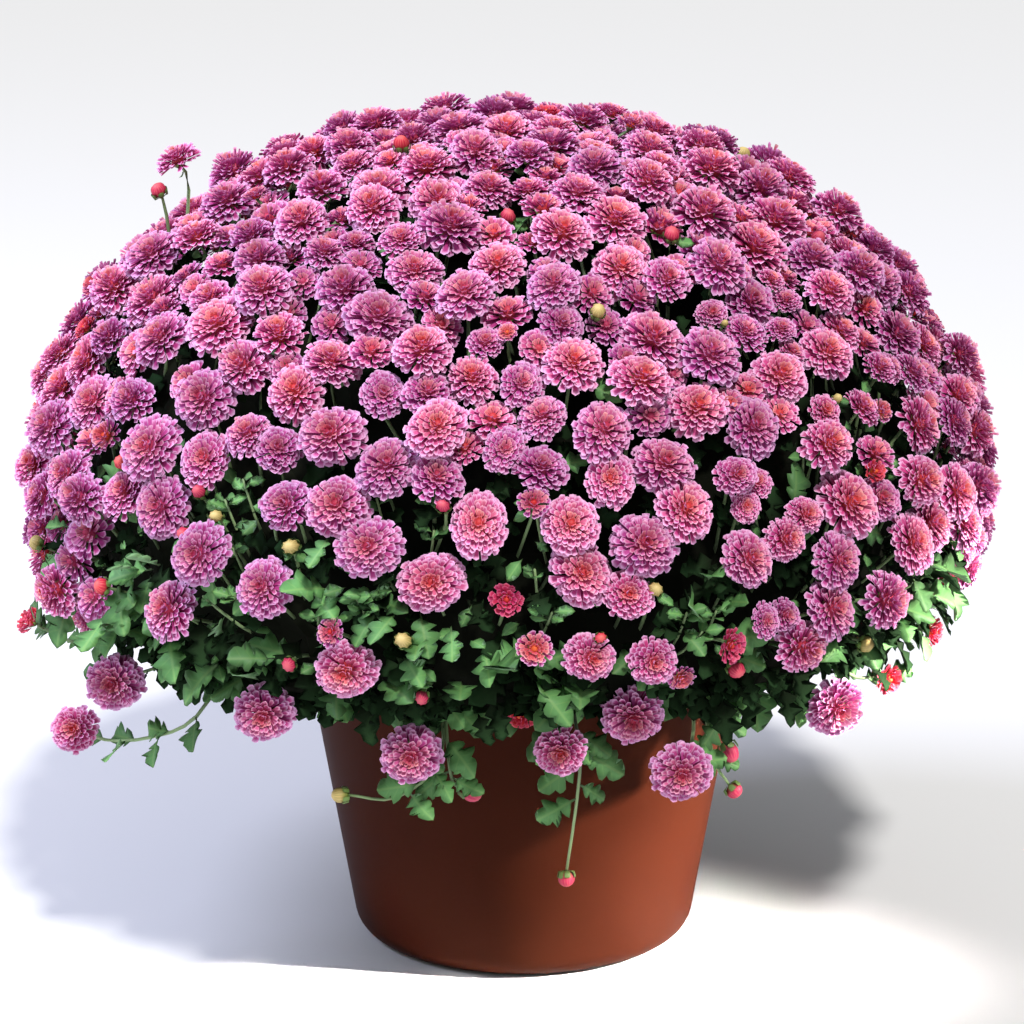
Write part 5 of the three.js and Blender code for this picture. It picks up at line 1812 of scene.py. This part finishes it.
def spin_section(section, steps):
    bm = bmesh.new()
    outline = [bm.verts.new((out, 0, up)) for out, up in section]
    for a, b in zip(outline, outline[1:]):
        bm.edges.new((a, b))
    bmesh.ops.spin(
        bm, geom=list(bm.verts) + list(bm.edges), cent=(0, 0, 0), axis=UPWARDS, dvec=(0, 0, 0),
        angle=FULL_TURN, steps=steps, use_merge=True, use_normal_flip=False, use_duplicate=False)
    bmesh.ops.remove_doubles(bm, verts=list(bm.verts), dist=0.01)
    bmesh.ops.recalc_face_normals(bm, faces=list(bm.faces))
    return bm


pot_body = spin_section(pot_section(), POT_SIDES)
print("faces of the spun pot:", len(pot_body.faces))

# %% [markdown]
# Water leaves through four round drain holes in the floor. They are drilled with a Boolean, which
# trims the floor's two faces and lines each hole at once.

# %% Drill the drain holes
DRAIN = SimpleNamespace(count=4, radius=6.0, ring=62.0, sides=24, first=45)
CREASE = 0.7


def drilled(body):
    rods = bmesh.new()
    for k in range(DRAIN.count):
        place = around_front(DRAIN.first + k * 360 / DRAIN.count) * DRAIN.ring
        bmesh.ops.create_cone(
            rods, cap_ends=True, segments=DRAIN.sides, radius1=DRAIN.radius, radius2=DRAIN.radius,
            depth=4 * POT.wall, matrix=Matrix.Translation(place))
    parts = [new_object(name, mesh_from(shape, name))
             for name, shape in (("pot body", body), ("drain rods", rods))]
    drill = parts[0].modifiers.new("drill", "BOOLEAN")
    drill.object, drill.operation, drill.solver = parts[1], "DIFFERENCE", "EXACT"
    ready = parts[0].evaluated_get(bpy.context.evaluated_depsgraph_get())
    result = bmesh.new()
    result.from_mesh(ready.data)
    for part in parts:
        bpy.data.meshes.remove(part.data)
    return result


pot_body = drilled(pot_body)
for face in pot_body.faces:
    face.smooth = True
for edge in pot_body.edges:
    edge.smooth = edge.calc_face_angle(0.0) < CREASE
open_edges = sum(edge.is_boundary for edge in pot_body.edges)
print("pot faces:", len(pot_body.faces), "open edges:", open_edges)

# %% [markdown]
# The plastic is a warm brown, even but for faint clouding in the colour and the gloss. The potting
# mix will need the same effect at a far finer grain, so it is a node group: noise between a dark
# and a light colour, which also hands on the noise itself.

# %% Clouded colour, and the pot's material
def clouded_colour():
    group, asked, answers = new_group("Clouded colour", {
        "Vector": None, "Scale": 10.0, "Detail": 5.0, "Dark": WHITE, "Light": WHITE,
        "Dark Up To": 0.3, "Light From": 0.7}, ("Color", "Cloud"))
    clouds = node(group, "ShaderNodeTexNoise")
    for name in ("Vector", "Scale", "Detail"):
        feed(group, clouds.inputs[name], asked[name])
    share = node(group, "ShaderNodeMapRange")
    feed(group, share.inputs["Value"], clouds.outputs["Fac"])
    feed(group, share.inputs["From Min"], asked["Dark Up To"])
    feed(group, share.inputs["From Max"], asked["Light From"])
    colour = mix_colours(group, share.outputs["Result"], asked["Dark"], asked["Light"])
    feed(group, answers["Color"], colour)
    feed(group, answers["Cloud"], clouds.outputs["Fac"])
    return group


CLOUDED_COLOUR = clouded_colour()


def clouded_material(name, roughness, specular, **values):
    material, tree, sockets = new_material(name, roughness, specular)
    place = node(tree, "ShaderNodeTexCoord").outputs["Object"]
    clouded = placed(tree, CLOUDED_COLOUR, vector=place, **values)
    feed(tree, sockets["Base Color"], clouded["Color"])
    return material, tree, sockets, clouded["Cloud"]


def pot_material():
    material, tree, sockets, cloud = clouded_material(
        "terracotta brown plastic", 0.5, 0.03, scale=14.0, detail=5.0, dark=srgb(54, 20, 8),
        light=srgb(60, 24, 11), dark_up_to=0.3, light_from=0.72)
    feed(tree, sockets["Roughness"], maths(tree, "MULTIPLY_ADD", cloud, 0.12, 0.44))
    return material


finish_piece(pot_body, "plastic_pot", ["pot"], [pot_material()])
print("pieces so far:", len(finished_pieces))

# %% [markdown]
# ## The potting mix
# Dark, damp and crumbly. A spun section gives the filling; noise lifts its surface into crumbs.

# %% Potting mix
MIX_TOP = 190.0
MIX_GAP = 0.5
MIX_SIDE_GAP = 3
MIX_SHOULDER = 12
MIX_RINGS = (1, 0.85, 0.7, 0.5, 0.3, 0.15)
MIX_SIDES = 64
CRUMB_HEIGHT = 1.5
CRUMB_SCALE = 0.22


def mix_section():
    low = POT.wall + MIX_GAP
    heel, top = (wall_line(height) - POT.wall - MIX_SIDE_GAP for height in (POT.heel, MIX_TOP))
    section = [(0, low), (wall_line(POT.heel) - POT.heel - POT.wall - MIX_SIDE_GAP, low)]
    section += [(heel, POT.heel + 1), (top, MIX_TOP - 3)]
    section += [((wall_line(MIX_TOP) - MIX_SHOULDER) * share, MIX_TOP) for share in MIX_RINGS]
    return section + [(0, MIX_TOP)]


filling = spin_section(mix_section(), MIX_SIDES)
for vert in filling.verts:
    if vert.co.z > MIX_TOP - 1:
        vert.co.z += CRUMB_HEIGHT * noise.noise(vert.co * CRUMB_SCALE)
mix_finish = clouded_material(
    "damp potting mix", 0.95, 0.5, scale=220.0, detail=6.0, dark=srgb(28, 20, 15),
    light=srgb(66, 48, 36), dark_up_to=0.35, light_from=0.70)[0]
print("faces of the filling:", len(filling.faces))
finish_piece(filling, "potting_mix_filling", ["potting_mix"], [mix_finish])

# %% [markdown]
# ## Floor, lamps and camera
# The plant stands on a wide pale floor, which only serves the view and is no part of it.

# %% Pale floor
FLOOR_GREY = (0.80, 0.80, 0.80, 1.0)
bm = bmesh.new()
bmesh.ops.create_grid(bm, x_segments=1, y_segments=1, size=30.0)
floor = new_object("floor", mesh_from(bm, "floor"))
floor_material, _, sockets = new_material("pale floor", roughness=0.9, specular=0.1)
sockets["Base Color"].default_value = FLOOR_GREY
floor.data.materials.append(floor_material)
print("floor across, in metres:", round(floor.dimensions.x))

# %% [markdown]
# One softened lamp high in front is the sun of this studio. A weak one low on the right reaches
# in under the foliage and draws the pot's round side. A broad, cool one high on the left is the
# open sky on that side: without it the left of the dome would sink into brown. A dim white room
# keeps the remaining shadows open.

# %% Studio lamps
def around_plant(degrees, rise, distance):
    """A place for a lamp: degrees round from the front, rise above the floor, metres away."""
    level = around_front(degrees) * math.cos(math.radians(rise))
    return (level + UPWARDS * math.sin(math.radians(rise))) * distance


def aimed_lamp(name, kind, place, aim, power, colour, **shape):
    data = bpy.data.lights.new(name, kind)
    data.energy = power
    data.color = colour
    for setting, value in shape.items():
        setattr(data, setting, value)
    lamp = new_object(name, data)
    lamp.location = place
    lamp.rotation_euler = (aim - place).to_track_quat("-Z", "Y").to_euler()
    return lamp


lamps = [
    aimed_lamp("key lamp", "SUN", around_plant(14, 54, 5), UPWARDS * 0.3, 2.75,
               (1.0, 0.98, 0.95), angle=math.radians(6)),
    aimed_lamp("low lamp", "AREA", around_plant(71, 28, 1.9), Vector((0.04, -0.06, 0.04)), 1.25,
               (1.0, 0.95, 0.90), shape="DISK", size=0.10, spread=math.radians(11)),
    aimed_lamp("fill lamp", "AREA", around_plant(-80, 52, 3.4), UPWARDS * 0.35, 105,
               (0.72, 0.76, 1.0), shape="DISK", size=2.0),
]
world = bpy.data.worlds.new("studio")
world.use_nodes = True
room = world.node_tree.nodes["Background"].inputs
room["Color"].default_value = (0.93, 0.96, 1.0, 1.0)
room["Strength"].default_value = 0.36
bpy.context.scene.world = world
bpy.context.scene.view_settings.view_transform = "Standard"
print("lamps:", [lamp.name for lamp in lamps])

# %% [markdown]
# The camera stands a little above the plant's middle and far off, so that the pot's sides taper
# no more than they really do.

# %% Camera
CAMERA = SimpleNamespace(
    distance=2.5, elevation=14.5, aim=0.298, lens=131.8, sensor=36.0, shift=(-0.0112, -0.0127))
slope = math.radians(CAMERA.elevation)
camera_data = bpy.data.cameras.new("camera")
camera_data.lens = CAMERA.lens
camera_data.sensor_width = CAMERA.sensor
camera_data.sensor_fit = "HORIZONTAL"
camera_data.shift_x, camera_data.shift_y = CAMERA.shift
camera = new_object("camera", camera_data)
back, up = CAMERA.distance * math.cos(slope), CAMERA.distance * math.sin(slope)
camera.location = (0, -back, CAMERA.aim + up)
camera.rotation_euler = (math.pi / 2 - slope, 0, 0)
bpy.context.scene.camera = camera
print("camera stands", round(back, 2), "m in front and", round(CAMERA.aim + up, 2), "m up")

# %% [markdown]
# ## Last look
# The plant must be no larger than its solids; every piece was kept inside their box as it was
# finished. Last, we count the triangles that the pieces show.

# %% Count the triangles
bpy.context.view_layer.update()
triangles = sum(
    len(face.vertices) - 2 for piece in finished_pieces for face in piece.data.polygons)
print("triangles shown:", triangles)
